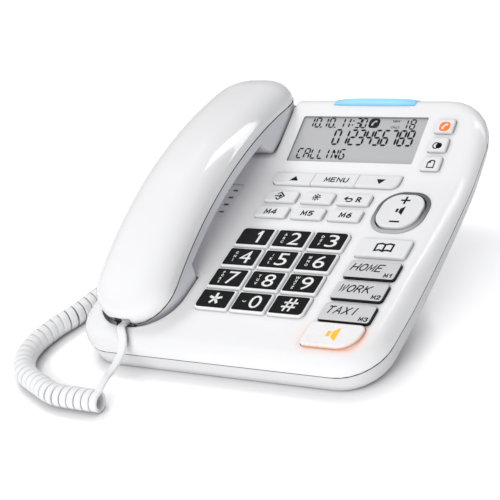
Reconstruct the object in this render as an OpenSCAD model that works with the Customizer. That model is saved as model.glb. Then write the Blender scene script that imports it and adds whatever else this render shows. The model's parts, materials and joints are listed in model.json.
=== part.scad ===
// Corded desk telephone with large keys: sloping base, display, arched handset and curly cord.
// X runs across the base, Y from the front edge to the rear, Z up from the table.
// The base is drawn in the deck frame, whose x-y plane is the face that carries the keys:
// x across, y up the slope from the front edge, z straight out of the face.

/* [Base] */
// Width of the base at its widest, near the front
base_w = 196; // [186:1:210]
// Length of the base measured up the slope
base_len = 193; // [190:1:200]
// Slope of the key face to the table, in degrees
deck_tilt = 12; // [9:1:14]
// Height of the front edge of the key face above the table
deck_z = 19.6; // [19:0.2:26]
// Height of the top cover's edge above the seam
cover_edge = 9.6; // [9.2:0.2:12]
// Width of the soft edge all round the top cover
edge_r = 9; // [6:0.5:10]
// Radius of the front corners in plan
front_corner = 25; // [22:1:34]
// Radius of the rear corners in plan
rear_corner = 30; // [24:1:34]
// How much each side draws in from the middle to the ends
side_bow = 5; // [1:0.5:6]
// Wall thickness of the top cover
cover_t = 2.4; // [2:0.1:2.6]
// Height of the tray's side below the seam
tray_h = 10.2; // [8:0.2:10.4]
// Wall thickness of the tray
tray_t = 2; // [1.6:0.1:2.4]
// Width of the shadow line between the cover and the tray
seam_gap = 0.3; // [0.2:0.05:0.5]

/* [Display] */
// Extra slope of the display face over the key face, in degrees
display_tilt = 14; // [10:1:16]
// Distance from the front edge to the fold between the two faces
fold_y = 138; // [137:1:141]
// Width of the display window
window_w = 83; // [76:1:84]
// Height of the display window up its own slope
window_h = 31.8; // [26:0.2:32]
// Distance of the window's middle from the base's middle
window_x = 15.5; // [14:0.5:17]
// Thickness of the clear window
window_t = 1.5; // [1:0.1:1.8]
// Length of the glowing call bar on the rear edge
bar_len = 54; // [40:1:64]
// Distance of the bar's middle from the base's middle
bar_x = 18; // [14:0.5:22]

/* [Keys] */
// Distance between the columns of digit keys
key_pitch_x = 24; // [23.4:0.2:24.4]
// Distance between the rows of digit keys
key_pitch_y = 16.15; // [15.6:0.05:16.4]
// Width of a digit key
digit_w = 22.4; // [21:0.1:22.6]
// Depth of a digit key
digit_d = 14.6; // [13:0.1:14.8]
// Width of a function key
func_w = 20.4; // [18:0.1:21.4]
// Depth of a function key
func_d = 8.4; // [7.6:0.1:9]
// Width of a memory key
memory_w = 31; // [29:0.5:32]
// Depth of a memory key
memory_d = 12.4; // [11:0.1:13]
// Distance between the memory keys
memory_pitch = 15.6; // [15:0.1:16.4]
// Outer size of the volume rocker
rocker_size = 25.6; // [24:0.1:26.4]
// Width of the dark ring round the volume rocker
ring_w = 2.4; // [1.6:0.1:2.6]
// How far a key can be pressed
key_travel = 1; // [0.6:0.1:1.2]
// How far a key stands above the face
key_rise = 2; // [1.6:0.1:2.4]
// Clearance all round a key in its opening
key_gap = 0.3; // [0.25:0.05:0.4]

/* [Handset] */
// Width of the handset
handset_w = 52; // [48:1:53]
// Distance of the handset's middle to the left of the base's middle
handset_x = 62; // [61:0.5:64]
// Radius of the handset's arch at its seam
arch_r = 245; // [240:5:260]
// Length of the arch from its highest point to the mouthpiece end
arch_front = 159; // [150:1:160]
// Length of the arch from its highest point to the earpiece end
arch_rear = 33; // [30:1:36]
// Height of the rounded back above the seam
crown_h = 13.5; // [11:0.5:15]
// Depth of the grip below the seam
grip_d = 7; // [6:0.5:9]
// Wall thickness of the handset shells
shell_t = 2; // [1.6:0.1:2.4]
// Radius of the receiver capsule
receiver_r = 17; // [14:0.5:18]

/* [Cord] */
// Diameter of the cord's wire
wire_d = 2.7; // [2.2:0.1:2.7]
// Outer diameter of the curls
coil_d = 13; // [12:0.5:13]
// Number of curls
curls = 52; // [40:1:54]

/* [Fasteners and feet] */
// Diameter of the screw shanks
screw_d = 2.6; // [2:0.1:3]
// Diameter of the rubber feet
foot_d = 12; // [9:0.5:14]

/* [Hidden] */
$fn = 40;
// Small overshoot of a cutting solid past the face it opens
over = 1;
// Gap that keeps two neighbouring pieces just clear of each other
fit = 0.3;
// Steps of an arc in a swept outline
arc_n = 7;

// The frame of the key face
front_y = -97.92;
tilt_s = sin(deck_tilt);
tilt_c = cos(deck_tilt);
// The keypad's middle in the deck frame
pad_x = 10;
pad_y = 60;

// Distances up the slope at which the base's side has a point
side_ys = [48, 66, 84, 102, 116, 126, 132, 135, 138, 141, 144, 150];
side_ys_rear = 157;

// Height of the outer face over the key plane, folding softly up to the display
fold_soft = 6;
fold_k = tan(display_tilt);
function face_z(y) = fold_k * ((y - fold_y) + sqrt(pow(y - fold_y, 2) + pow(fold_soft, 2))) / 2;
// Height of the seam between cover and tray
seam_rise = 0.55;
seam_creep = 0.05;
seam_from = 50;
function seam_z(y) = -cover_edge + seam_rise * face_z(y) + seam_creep * max(0, y - seam_from);
// Height of the cover's soft edge, which leaves a short straight wall over the seam
wall_h = 1;
function edge_h(y) = face_z(y) - seam_z(y) - wall_h;
// Height of the tray's lower outer edge, whose side grows thinner toward the rear
tray_thin = 0.026;
tray_from = 5;
function tray_z(y) = seam_z(y) - tray_h + tray_thin * max(0, y - tray_from);
// Depth of the tray's belly below that edge, which grows toward the rear
belly_d = 7;
belly_from = 30;
belly_run = 60;
function belly_z(y) = tray_z(y) - belly_d * min(1, max(0, (y - belly_from) / belly_run));
// The belly begins this far in from the outline, and the tray's lip ends this far in
belly_in = 18;
lip_in = 0.9;
// How far the tray's sides lean in at their lower edge
side_lean = 1.6;
// Height of the tray's underside at a place in plan
function under_z(p) = let(d = min(half_w(p[1]) - abs(p[0]), p[1], base_len - p[1]))
    tray_z(p[1]) + (belly_z(p[1]) - tray_z(p[1])) * min(1, max(0, (d - lip_in) / (belly_in - lip_in)));

function half_w(y) = base_w / 2 - side_bow * pow((y - pad_y) / (base_len - pad_y), 2);

// Right half of the base's outline, drawn in by d, from the front to the rear
function base_half(d) = let(
    fx = half_w(front_corner) - front_corner,
    rx = half_w(base_len - rear_corner) - rear_corner,
    fr = front_corner - d, rr = rear_corner - d)
    concat(
        [for (i = [0:arc_n]) let(a = -90 + 90 * i / arc_n)
            [fx + fr * cos(a), front_corner + fr * sin(a)]],
        [for (y = side_ys) [half_w(y) - d, y]],
        [[half_w(side_ys_rear) - d, side_ys_rear]],
        [for (i = [0:arc_n]) let(a = 90 * i / arc_n)
            [rx + rr * cos(a), base_len - rear_corner + rr * sin(a)]]);
function mirrored(half) = concat(half, [for (i = [len(half) - 1:-1:0]) [-half[i][0], half[i][1]]]);
function base_ring(d, lean = 0) = [for (p = mirrored(base_half(d))) [p[0] * (1 - 2 * lean / base_w), p[1]]];

// Closed skin through equal rings stacked from the bottom up. Each ring is mirror-symmetric in x,
// so its two caps are strips that run straight across.
module skin(rings) {
    n = len(rings[0]);
    m = len(rings);
    half = n / 2;
    walls = [for (r = [0:m - 2], i = [0:n - 1]) let(j = (i + 1) % n)
        each [[r * n + i, (r + 1) * n + i, (r + 1) * n + j], [r * n + i, (r + 1) * n + j, r * n + j]]];
    top = (m - 1) * n;
    caps = [for (i = [0:half - 2]) let(l = n - 1 - i)
        each [[i, i + 1, l - 1], [i, l - 1, l],
              [top + i, top + l, top + l - 1], [top + i, top + l - 1, top + i + 1]]];
    polyhedron(points = [for (r = rings) each r], faces = concat(walls, caps));
}

module on_deck() translate([0, front_y, deck_z]) rotate([deck_tilt, 0, 0]) children();
// The display face's own frame, with its y up that face from the fold
module on_display() on_deck() translate([0, fold_y, 0]) rotate([display_tilt, 0, 0]) children();
module in_display() translate([0, fold_y, 0]) rotate([display_tilt, 0, 0]) children();

// Rectangle with round corners about its middle
module round_rect(w, d, r) {
    square([w - 2 * r, d], center = true);
    square([w, d - 2 * r], center = true);
    for (x = [-1, 1], y = [-1, 1]) translate([x * (w / 2 - r), y * (d / 2 - r)]) circle(r);
}
module plate(w, d, r, z0, z1) translate([0, 0, z0]) linear_extrude(z1 - z0) round_rect(w, d, r);

// ---------------------------------------------------------------- handset arch
// The arch's highest point at the seam, in the deck's own origin
arch_y = front_y + 161.3;
arch_z = deck_z + 52.4;
// Radii of the handset's plan at its two ends
mouth_r = 24;
ear_r = 23;
// Arch positions, in mm along it, where a cup begins and where it has its full depth
mouth_cup = [118, 127];
ear_cup = [24, 15];
// Heights of the two cup faces over the key plane
mouth_floor = -9;
ear_floor = 3.3;
cup_edge = 3;
grip_edge = 2.4;

function arch(x, s, h) = let(a = s / arch_r * 180 / PI)
    [x - handset_x, arch_y - (arch_r + h) * sin(a), arch_z - arch_r + (arch_r + h) * cos(a)];
// Depth below the seam at which the arch position s meets a plane parallel to the key face
arch_base = -tilt_s * (arch_y - front_y) + tilt_c * (arch_z - arch_r - deck_z);
function plane_depth(s, floor_z) =
    arch_r - (floor_z - arch_base) / cos(s / arch_r * 180 / PI - deck_tilt);
function ramp(s, span) = min(1, max(0, (s - span[0]) / (span[1] - span[0])));
function lower_depth(s) = let(m = ramp(s, mouth_cup), e = ramp(s, ear_cup))
    grip_d * (1 - m - e) + m * plane_depth(s, mouth_floor) + e * plane_depth(s, ear_floor);

arch_mid = [124, 121, 118, 106, 94, 82, 70, 58, 46, 34, 24, 21, 18, 15, 8, 0];
function handset_half(d) = let(
    hw = handset_w / 2, mr = mouth_r - d, er = ear_r - d)
    concat(
        [for (i = [0:arc_n]) let(a = -90 + 90 * i / arc_n)
            [hw - mouth_r + mr * cos(a), arch_front - mouth_r - mr * sin(a)]],
        [[hw - d, 131], [hw - d, 127]],
        [for (s = arch_mid) [hw - d, s]],
        [for (i = [0:arc_n]) let(a = 90 * i / arc_n)
            [hw - ear_r + er * cos(a), -arch_rear + ear_r - er * sin(a)]]);
function arch_ring(d, h) = [for (p = mirrored(handset_half(d))) arch(p[0], p[1], h)];
// Ring of the lower shell at a height over its own underside
function lower_ring(d, rise) = [for (p = mirrored(handset_half(d)))
    arch(p[0], p[1], -lower_depth(p[1]) + rise)];

// Rounded back of the handset: height over the seam at a distance d in from the edge
crown_run = 20;
crown_pow = 2.2;
function crown(d, h) = h * pow(1 - pow(1 - min(1, d / crown_run), crown_pow), 1 / crown_pow);
crown_ds = [0, 0.5, 1.6, 3.6, 6.6, 10.6, 15.4, 20];

module upper_body(d, h, z0) skin(concat(d > 0 ? [arch_ring(d, -over)] : [], [rim_ring(d, z0)],
    [for (c = crown_ds) if (crown(c, h) > z0 + 0.5) arch_ring(d + c, crown(c, h))]));

module lower_body(d, t, z0) skin(concat([
    lower_ring(d + cup_edge, t), lower_ring(d + 1.6, t + 0.3), lower_ring(d + 0.6, t + 1),
    lower_ring(d, t + grip_edge), rim_ring(d, z0)], d > 0 ? [arch_ring(d, over)] : []));
// Ring at the shell's rim; the hollow's is a little deeper round the two ends
rim_dip = 0.4;
function rim_ring(d, z0) = [for (p = mirrored(handset_half(d)))
    arch(p[0], p[1], d > 0 && (p[1] > arch_front - mouth_r || p[1] < ear_r - arch_rear) ? z0 - rim_dip : z0)];

// ---------------------------------------------------------------- keys
key_skirt = 0.6;     // how far a key's skirt reaches past its opening
key_skirt_t = 1.2;
key_step = 0.5;      // inset and height of the softened top edge
key_top_r = 1.4;
digit_rim = 1.1;     // white rim round a digit key's printed face
digit_face = 0.3;
pad_r = 3.4;         // rounder corners of the whole keypad block
right_x = 70;        // middle of the right-hand column
right_r = 1.8;
phonebook_y = 81.8;
phonebook_d = 13.4;
memory_y = 65.4;
speaker_key = [68.8, 18.6];
speaker_w = 33;
speaker_d = 16.2;
speaker_skirt = 0.5;
func_ys = [117.6, 105.1];
side_key = [69.7, 11.6, 9];
side_key_ys = [8.9, 21.5, 34.1];
nav_x = 14;
nav_y = 132.8;
nav_w = 83;
nav_d = 9.6;
nav_r = 4.6;
nav_cuts = [-14.5, 14.5];
rocker_at = [66, 110.4];
rocker_r = 10;
rocker_tilt = 3;

digit_names = ["key_1", "key_2", "key_3", "key_4", "key_5", "key_6",
               "key_7", "key_8", "key_9", "key_star", "key_0", "key_hash"];
func_names = ["key_log", "key_brightness", "key_recall", "key_m4", "key_m5", "key_m6"];
memory_names = ["key_m1", "key_m2", "key_m3"];
side_names = ["key_call_block", "key_contrast", "key_page"];
nav_names = ["key_up", "key_menu", "key_down"];

function digit_at(i) = [pad_x + (i % 3 - 1) * key_pitch_x, pad_y + (1.5 - floor(i / 3)) * key_pitch_y];
function func_at(i) = [pad_x + (i % 3 - 1) * key_pitch_x, func_ys[floor(i / 3)]];
function memory_at(i) = [right_x, memory_y - i * memory_pitch];

// One plain key about its own middle: skirt, stem and softened cap
module key_body(w, d, r, rise = key_rise) {
    plate(w + 2 * key_skirt, d + 2 * key_skirt, r, -cover_t - fit - key_skirt_t, -cover_t - fit);
    plate(w, d, r, -cover_t - fit - key_skirt_t, rise - key_step);
    plate(w - 2 * key_step, d - 2 * key_step, r - key_step, rise - key_step, rise);
}
module key_hole(w, d, r)
    plate(w + 2 * key_gap, d + 2 * key_gap, r + key_gap, -cover_t - over, key_rise + over);

// Outline of the speakerphone key, whose outer corner follows the base's corner
module speaker_outline(g = 0) {
    r = 12;
    q = 3;
    x = speaker_w / 2 + g;
    y = speaker_d / 2 + g;
    difference() {
        translate([-x, -y]) square([2 * x, 2 * y]);
        translate([x - r, -y]) difference() {
            translate([0, -over]) square([r + over, r + over]);
            translate([0, r]) circle(r);
        }
        for (c = [[-1, -1], [-1, 1], [1, 1]]) translate([c[0] * (x - q), c[1] * (y - q)]) difference() {
            translate([c[0] > 0 ? 0 : -q - over, c[1] > 0 ? 0 : -q - over]) square(q + over);
            circle(q);
        }
    }
}
module nav_outline(g = 0) difference() {
    square([nav_w + 2 * g, nav_d + 2 * g], center = true);
    for (s = [-1, 1]) translate([s * (nav_w / 2 + g - nav_r), -nav_d / 2 - g + nav_r]) difference() {
        translate([s > 0 ? 0 : -nav_r - over, -nav_r - over]) square(nav_r + over);
        circle(nav_r);
    }
}

// The keypad block's own corner that lies on digit key i, if any
function block_corner(i) = i == 0 ? [-1, 1] : i == 2 ? [1, 1] : i == 9 ? [-1, -1] : i == 11 ? [1, -1] : [];
// Outline of digit key i, grown by g, with its small corners of radius r
module digit_outline(i, g, r) difference() {
    round_rect(digit_w + 2 * g, digit_d + 2 * g, r);
    c = block_corner(i);
    if (len(c) > 0) translate([c[0] * (digit_w / 2 - pad_r), c[1] * (digit_d / 2 - pad_r)]) difference() {
        q = pad_r + g + over;
        translate([c[0] > 0 ? 0 : -q, c[1] > 0 ? 0 : -q]) square(q);
        circle(pad_r + g);
    }
}
module digit_key(i) color("#f2f3f5") on_deck() translate(digit_at(i)) {
    skirt = -cover_t - fit - key_skirt_t;
    rim = key_rise - digit_face;
    translate([0, 0, skirt]) linear_extrude(key_skirt_t) digit_outline(i, key_skirt, key_top_r);
    translate([0, 0, skirt]) linear_extrude(rim - key_step - skirt) digit_outline(i, 0, key_top_r);
    translate([0, 0, rim - key_step]) linear_extrude(key_step)
        digit_outline(i, -key_step, key_top_r - key_step);
    translate([0, 0, rim - key_step]) linear_extrude(key_rise - rim + key_step)
        digit_outline(i, -digit_rim, key_top_r - key_step);
}
module func_key(i) color("#eceef1") on_deck() translate(func_at(i)) key_body(func_w, func_d, key_top_r);
module memory_key(i) color("#d9dadd") on_deck() translate(memory_at(i)) key_body(memory_w, memory_d, right_r);
module side_face_key(i) color("#f2f3f5") on_display() translate([side_key[0], side_key_ys[i]])
    key_body(side_key[1], side_key[2], key_top_r);
module nav_key(i) color("#f2f3f5") on_deck() translate([nav_x, nav_y]) {
    x0 = i == 0 ? -nav_w : nav_cuts[i - 1] + key_gap / 2;
    x1 = i == 2 ? nav_w : nav_cuts[i] - key_gap / 2;
    skirt = -cover_t - fit - key_skirt_t;
    intersection() {
        union() {
            translate([0, 0, skirt]) linear_extrude(key_rise - key_step - skirt) nav_outline();
            translate([0, 0, skirt]) linear_extrude(key_skirt_t) nav_outline(key_skirt);
            translate([0, 0, key_rise - key_step]) linear_extrude(key_step) nav_outline(-key_step);
        }
        translate([x0, -nav_d, skirt]) cube([x1 - x0, 2 * nav_d, key_rise - skirt]);
    }
}
module phonebook_key() color("#eceef1") on_deck() translate([right_x - 1, phonebook_y])
    key_body(memory_w, phonebook_d, right_r);
module speaker_key_cap() color("#fff6ea") on_deck() translate(speaker_key) {
    skirt = -cover_t - fit - key_skirt_t;
    translate([0, 0, skirt]) linear_extrude(key_skirt_t) speaker_outline(speaker_skirt);
    translate([0, 0, skirt]) linear_extrude(key_rise - key_step - skirt) speaker_outline();
    translate([0, 0, key_rise - key_step]) linear_extrude(key_step) speaker_outline(-key_step);
}

// The rocker tips about a crosswise axis at the bottom of its stem
rocker_pin_z = -4.4;
rocker_pin_r = 0.9;
pin_run = 0.08;      // running clearance of the pin in its lugs
lug_t = 2;
module volume_rocker() color("#e6e7ea") on_deck() translate(rocker_at) {
    plate(rocker_size, rocker_size, rocker_r, -0.6, key_rise - key_step);
    plate(rocker_size - 2 * key_step, rocker_size - 2 * key_step, rocker_r - key_step,
          key_rise - key_step, key_rise);
    translate([-rocker_size / 4, -2, rocker_pin_z]) cube([rocker_size / 2, 4, -rocker_pin_z]);
    translate([-pin_l / 2, 0, rocker_pin_z]) rotate([0, 90, 0]) cylinder(r = rocker_pin_r, h = pin_l);
}
// Dark ring that lines the rocker's well
ring_gap = 0.8;
ring_out = rocker_size + 2 * ring_gap + 2 * ring_w;
pin_l = ring_out + 2 * fit + 2 * lug_t;
// Lugs under the cover that carry the rocker's pin
module rocker_lugs() translate(rocker_at) for (s = [-1, 1])
    translate([s * (ring_out + 2 * fit + lug_t) / 2, 0, rocker_pin_z]) difference() {
        translate([-lug_t / 2, -3, -1.5]) cube([lug_t, 6, 1.5 - rocker_pin_z - cover_t + 0.4]);
        translate([-lug_t, 0, 0]) rotate([0, 90, 0]) cylinder(r = rocker_pin_r + pin_run, h = 2 * lug_t);
    }
module volume_ring() color("#55565a") on_deck() translate(rocker_at) difference() {
    plate(ring_out, ring_out, rocker_r + ring_gap + ring_w, -cover_t, 0.6);
    plate(rocker_size + 2 * ring_gap, rocker_size + 2 * ring_gap, rocker_r + ring_gap, -cover_t - over, over);
}

// ---------------------------------------------------------------- cradle
cradle_gap = 1;
well_front = 11;
mouth_well_end = 52.4;
ear_well_from = 146;
deck_clear = 1.5;
well_t = 2;
cradle_w = handset_w + 2 * cradle_gap;
mouth_well_z = mouth_floor - fit;
ear_well_z = ear_floor - fit;
cradle_r = mouth_r + cradle_gap;

// Side view of the cradle's floor, lowered by t
module cradle_side(t = 0) polygon([
    [-over, 40], [-over, mouth_well_z - t], [mouth_well_end + t, mouth_well_z - t],
    [mouth_well_end + t, deck_clear], [ear_well_from - 6, deck_clear], [ear_well_from, ear_well_z - t],
    [base_len + 3 * over, ear_well_z - t], [base_len + 3 * over, 40]]);
// Plan of the cradle, grown by g; its rear end runs out through the back edge
module cradle_plan(g = 0) translate([-handset_x, 0]) {
    w = cradle_w + 2 * g;
    r = cradle_r + g;
    translate([-w / 2, well_front - g + r]) square([w, base_len]);
    translate([-w / 2 + r, well_front - g]) square([w - 2 * r, r]);
    for (s = [-1, 1]) translate([s * (w / 2 - r), well_front - g + r]) circle(r);
}
module cradle_space(g = 0, t = 0) intersection() {
    translate([0, 0, -40]) linear_extrude(80) cradle_plan(g);
    rotate([90, 0, 90]) translate([0, 0, -base_w]) linear_extrude(2 * base_w) cradle_side(t);
}

// ---------------------------------------------------------------- base housing
// The same cover carried down into the tray, which trims what stands inside it
module outer_cover_down() {
    outer_cover();
    core_space();
}
module outer_cover() skin(concat(
    [base_ring_at(0, "seam")],
    [for (i = [0:6]) let(a = 90 * i / 6)
        [for (p = base_ring(edge_r * (1 - cos(a))))
            [p[0], p[1], face_z(p[1]) - edge_h(p[1]) * (1 - sin(a))]]]));
function base_ring_at(d, level) = [for (p = base_ring(d)) [p[0], p[1],
    level == "seam" ? seam_z(p[1]) : level == "under" ? seam_z(p[1]) - 2 * tray_h : tray_z(p[1])]];
// Space inside the cover, down past its seam
module cover_space() skin([
    base_ring_at(cover_t, "under"),
    for (i = [0:2]) let(a = 45 * i)
        [for (p = base_ring(cover_t + (edge_r - cover_t) * (1 - cos(a))))
            [p[0], p[1], face_z(p[1]) - cover_t - (edge_h(p[1]) - cover_t) * (1 - sin(a))]]]);
// Core of the housing, inside both shells' walls
module core_space() skin([for (z = [-2, 1]) [for (p = base_ring(tray_t + 1.2))
    [p[0], p[1], z < 0 ? belly_z(p[1]) : face_z(p[1]) - edge_h(p[1])]]]);

window_low = 9;       // the window's lower edge lies this far up its face
window_y = window_low + window_h / 2;
window_seat = 1.2;
bar_y = base_len - 7.8;
bar_w = 6.6;
bar_deep = 5;
boss_r = 3.4;
screw_head = screw_d + 2.4;
screw_sink = 1.8;
screw_l = 11;
// Screw bosses: place in plan, and the height that each one carries
boss_xy = [[14 - base_w / 2, 72, -cover_t], [base_w / 2 - 7.8, 45, -cover_t],
    [base_w / 2 - 16, base_len - 24.4, 6], [16.6 - base_w / 2, base_len - 29.6, ear_well_z - well_t],
    [-26, 12, -cover_t]];
boss_up = 3;
function boss_foot(p) = under_z(p) + tray_t + boss_up;
grille_rows = 4;
grille_cols = 5;
grille_pitch = 6;
grille_slot = [3.4, 1.6];
grille_y = 114;
grille_panel = [34, 28, 0.6];

module key_openings() {
    for (i = [0:11]) translate(digit_at(i)) translate([0, 0, -cover_t - over])
        linear_extrude(cover_t + key_rise + 2 * over) digit_outline(i, key_gap, key_top_r + key_gap);
    for (i = [0:5]) translate(func_at(i)) key_hole(func_w, func_d, key_top_r);
    for (i = [0:2]) translate(memory_at(i)) key_hole(memory_w, memory_d, right_r);
    translate([right_x - 1, phonebook_y]) key_hole(memory_w, phonebook_d, right_r);
    translate([speaker_key[0], speaker_key[1], -cover_t - over])
        linear_extrude(cover_t + 2 * over) speaker_outline(key_gap);
    translate([nav_x, nav_y, -cover_t - over]) linear_extrude(cover_t + 4 * over) nav_outline(key_gap);
    translate(rocker_at) plate(ring_out, ring_out, rocker_r + ring_gap + ring_w, -cover_t - over, over);
    in_display() for (y = side_key_ys) translate([side_key[0], y])
        key_hole(side_key[1], side_key[2], key_top_r);
}

module display_openings() in_display() translate([window_x, window_y]) {
    plate(window_w, window_h, 1, -window_t, over);
    plate(window_w - 2 * window_seat, window_h - 2 * window_seat, 1, -cover_t - 2 * over, over);
}

plunger_at = [-handset_x, 171];
plunger_w = 5;
plunger_d = 9;
plunger_up = 3;

module top_cover() color("#f4f5f7") on_deck() difference() {
    union() {
        difference() {
            outer_cover();
            cover_space();
        }
        intersection() {
            cradle_space(well_t, well_t);
            union() {
                outer_cover();
                core_space();
            }
        }
        rocker_lugs();
        intersection() {
            outer_cover_down();
            for (p = boss_xy) translate([p[0], p[1], boss_foot(p)])
                cylinder(r = boss_r, h = p[2] - boss_foot(p) + 0.6);
        }
    }
    cradle_space();
    key_openings();
    display_openings();
    for (p = boss_xy) translate([p[0], p[1], boss_foot(p) - over])
        cylinder(d = screw_d, h = screw_l - boss_up);
    translate([-handset_x, grille_y]) plate(grille_panel[0], grille_panel[1], 3, -grille_panel[2], over);
    for (c = [0:grille_cols - 1], r = [0:grille_rows - 1])
        translate([-handset_x + (c - (grille_cols - 1) / 2) * grille_pitch,
                   grille_y + (r - (grille_rows - 1) / 2) * grille_pitch, -cover_t / 2])
            cube([grille_slot[0], grille_slot[1], 2 * cover_t], center = true);
    translate([plunger_at[0], plunger_at[1], ear_well_z - well_t / 2])
        cube([plunger_w + 2 * fit, plunger_d + 2 * fit, 4 * well_t], center = true);
    translate([bar_x - bar_len / 2, bar_y, face_z(bar_y) - bar_deep])
        cube([bar_len, bar_w + 4, 12]);
}

// ---------------------------------------------------------------- tray with its rear stand
stand_x = [22 - base_w / 2, 34];
stand_y = [34, base_len - 33];
stand_z = 2.2;
stand_t = 2.2;
stand_r = 10;
module tray_outer() skin([
    [for (p = base_ring(belly_in)) [p[0], p[1], belly_z(p[1])]],
    [for (p = base_ring(lip_in, side_lean)) [p[0], p[1], tray_z(p[1])]],
    [for (p = base_ring(0.3, side_lean)) [p[0], p[1], tray_z(p[1]) + 0.4]],
    [for (p = base_ring(0.3, 0.7 * side_lean)) [p[0], p[1], tray_z(p[1]) + 2.4]],
    [for (p = base_ring(0.4)) [p[0], p[1], seam_z(p[1]) - seam_gap]]]);
module tray_space() skin([
    [for (p = base_ring(belly_in + 1)) [p[0], p[1], belly_z(p[1]) + tray_t]],
    [for (p = base_ring(tray_t + 2.4, side_lean)) [p[0], p[1], tray_z(p[1]) + tray_t]],
    [for (p = base_ring(tray_t + 1, side_lean)) [p[0], p[1], tray_z(p[1]) + 3]],
    [for (p = base_ring(tray_t + 0.6)) [p[0], p[1], seam_z(p[1]) + over]]]);
// Block of the stand in world axes, shrunk by t
module stand_block(t) {
    x0 = stand_x[0] + t;
    x1 = stand_x[1] - t;
    translate([(x0 + x1) / 2, front_y + (stand_y[0] + stand_y[1]) / 2, stand_z + t]) linear_extrude(60)
        round_rect(x1 - x0, stand_y[1] - stand_y[0] - 2 * t, stand_r - t);
}
// All space above the tray's underside, or that much higher
module above_belly(t) on_deck() skin([
    [for (p = base_ring(belly_in)) [p[0], p[1], belly_z(p[1]) + t]],
    [for (p = base_ring(belly_in)) [p[0], p[1], 60]]]);

battery_at = [-21, 112];
cell_d = 10.5;
cell_l = 44.5;
cells = 3;
cell_pitch = 11.2;
door_w = cell_l + 8;
door_d = cells * cell_pitch + 6;
door_t = 1.8;
jack_y = 100;
jack_w = 11;
jack_h = 7.6;
jack_len = 14;
jack_z = -11.1;
jack_in = 3;         // the block starts this far in, behind the tray's wall
line_x = -25;
line_w = 14;
line_h = 13;
line_z = 18;

board_posts = [[-24, 60], [-24, 122], [26, 14], [26, 130], [82, 68], [82, 122]];
post_r = 2.4;
post_in = 1.6;     // a post is sunk this far over the tray's underside, into its floor
module tray_posts() on_deck() {
    for (p = boss_xy) translate([p[0], p[1], under_z(p) + post_in])
        cylinder(r = boss_r, h = tray_t + boss_up - post_in);
    for (p = board_posts) translate([p[0], p[1], under_z(p) + post_in])
        cylinder(r = post_r, h = board_z - under_z(p) - post_in);
}
foot_xy = [[32 - base_w / 2, 21], [base_w / 2 - 32, 21]];
cable_hole = [8, 144];
rear_foot_xy = [[stand_x[0] + 12, stand_y[1] - 14], [stand_x[1] - 12, stand_y[1] - 14]];

module base_tray() color("#e4e6ea") difference() {
    union() {
        difference() {
            union() {
                on_deck() tray_outer();
                difference() {
                    stand_block(0);
                    above_belly(1);
                }
            }
            on_deck() tray_space();
            difference() {
                stand_block(stand_t);
                translate([battery_at[0] - door_w / 2 - 2, front_y + battery_at[1] - door_d / 2 - 2, stand_z])
                    cube([door_w + 4, door_d + 4, cell_d + door_t + 3]);
                above_belly(-0.2);
            }
        }
        tray_posts();
        // pads that carry the front feet
        for (p = foot_xy) translate([p[0], front_y + p[1], stand_z]) cylinder(d = foot_d + 3, h = 4.4);
    }
    on_deck() cradle_space(fit, fit + well_t);
    // way for the line's wires from the stand to the board
    on_deck() translate([cable_hole[0], cable_hole[1], belly_z(cable_hole[1]) - over])
        cylinder(d = 7, h = tray_t + 2 * over);
    // battery bay, open downward
    translate([battery_at[0] - door_w / 2, front_y + battery_at[1] - door_d / 2, stand_z - over])
        cube([door_w, door_d, cell_d + door_t + 1 + over]);
    // screw holes
    on_deck() for (p = boss_xy) translate([p[0], p[1], under_z(p) - 2 * over]) {
        cylinder(d = screw_d + 0.4, h = 14);
        cylinder(d = screw_head + 0.6, h = 2 * over + screw_sink);
    }
    // sockets
    on_deck() translate([-half_w(jack_y), jack_y, jack_z]) {
        translate([-over, -mouth_w / 2, -mouth_h / 2]) cube([6, mouth_w, mouth_h]);
        translate([jack_in, -jack_w / 2, -jack_h / 2]) cube([jack_len, jack_w, jack_h]);
    }
    translate([line_x - line_w / 2, front_y + stand_y[1] - 6, line_z - line_h / 2]) cube([line_w, 8, line_h]);
}

// ---------------------------------------------------------------- inner pieces of the base
mat_t = 1;
mat_z = -cover_t - fit - key_skirt_t - key_travel - 1.2;
dome_h = 0.9;
board_t = 1.6;
board_x = [-31, 88];
board_y = [9, 138];
module board_outline(g = 0) {
    difference() {
        translate([board_x[0] - g, board_y[0] - g])
            square([board_x[1] - board_x[0] + 2 * g, board_y[1] - board_y[0] + 2 * g]);
        translate([board_x[1] - 14, board_y[0] - over]) square([16, 8]);
        for (p = boss_xy) translate([p[0], p[1]]) circle(boss_r + 0.8 - g);
    }
}
module dome(w, d) plate(w, d, 1, mat_z, mat_z + dome_h);
module key_mat() color("#9a9ca1") on_deck() {
    translate([0, 0, mat_z - mat_t]) linear_extrude(mat_t) difference() {
        board_outline(-1);
        translate(rocker_at) round_rect(pin_l + 2, ring_out, rocker_r);
    }
    for (i = [0:11]) translate(digit_at(i)) dome(digit_w - 8, digit_d - 6);
    for (i = [0:5]) translate(func_at(i)) dome(func_w - 10, func_d - 3);
    for (i = [0:2]) translate(memory_at(i)) dome(memory_w - 12, memory_d - 5);
    translate([right_x - 1, phonebook_y]) dome(memory_w - 12, phonebook_d - 5);
    translate(speaker_key) dome(speaker_w - 14, speaker_d - 7);
}
board_z = mat_z - mat_t - board_t;
switch_h = 4;
module main_board() color("#2f6b45") on_deck() {
    translate([0, 0, board_z]) linear_extrude(board_t) board_outline();
    // low chips and the connector on the underside
    for (c = [[0, 100, 14, 10], [34, 96, 12, 12], [20, 40, 18, 8], [60, 70, 8, 16]])
        translate([c[0], c[1], board_z - 2]) cube([c[2], c[3], 2.2]);
}
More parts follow.
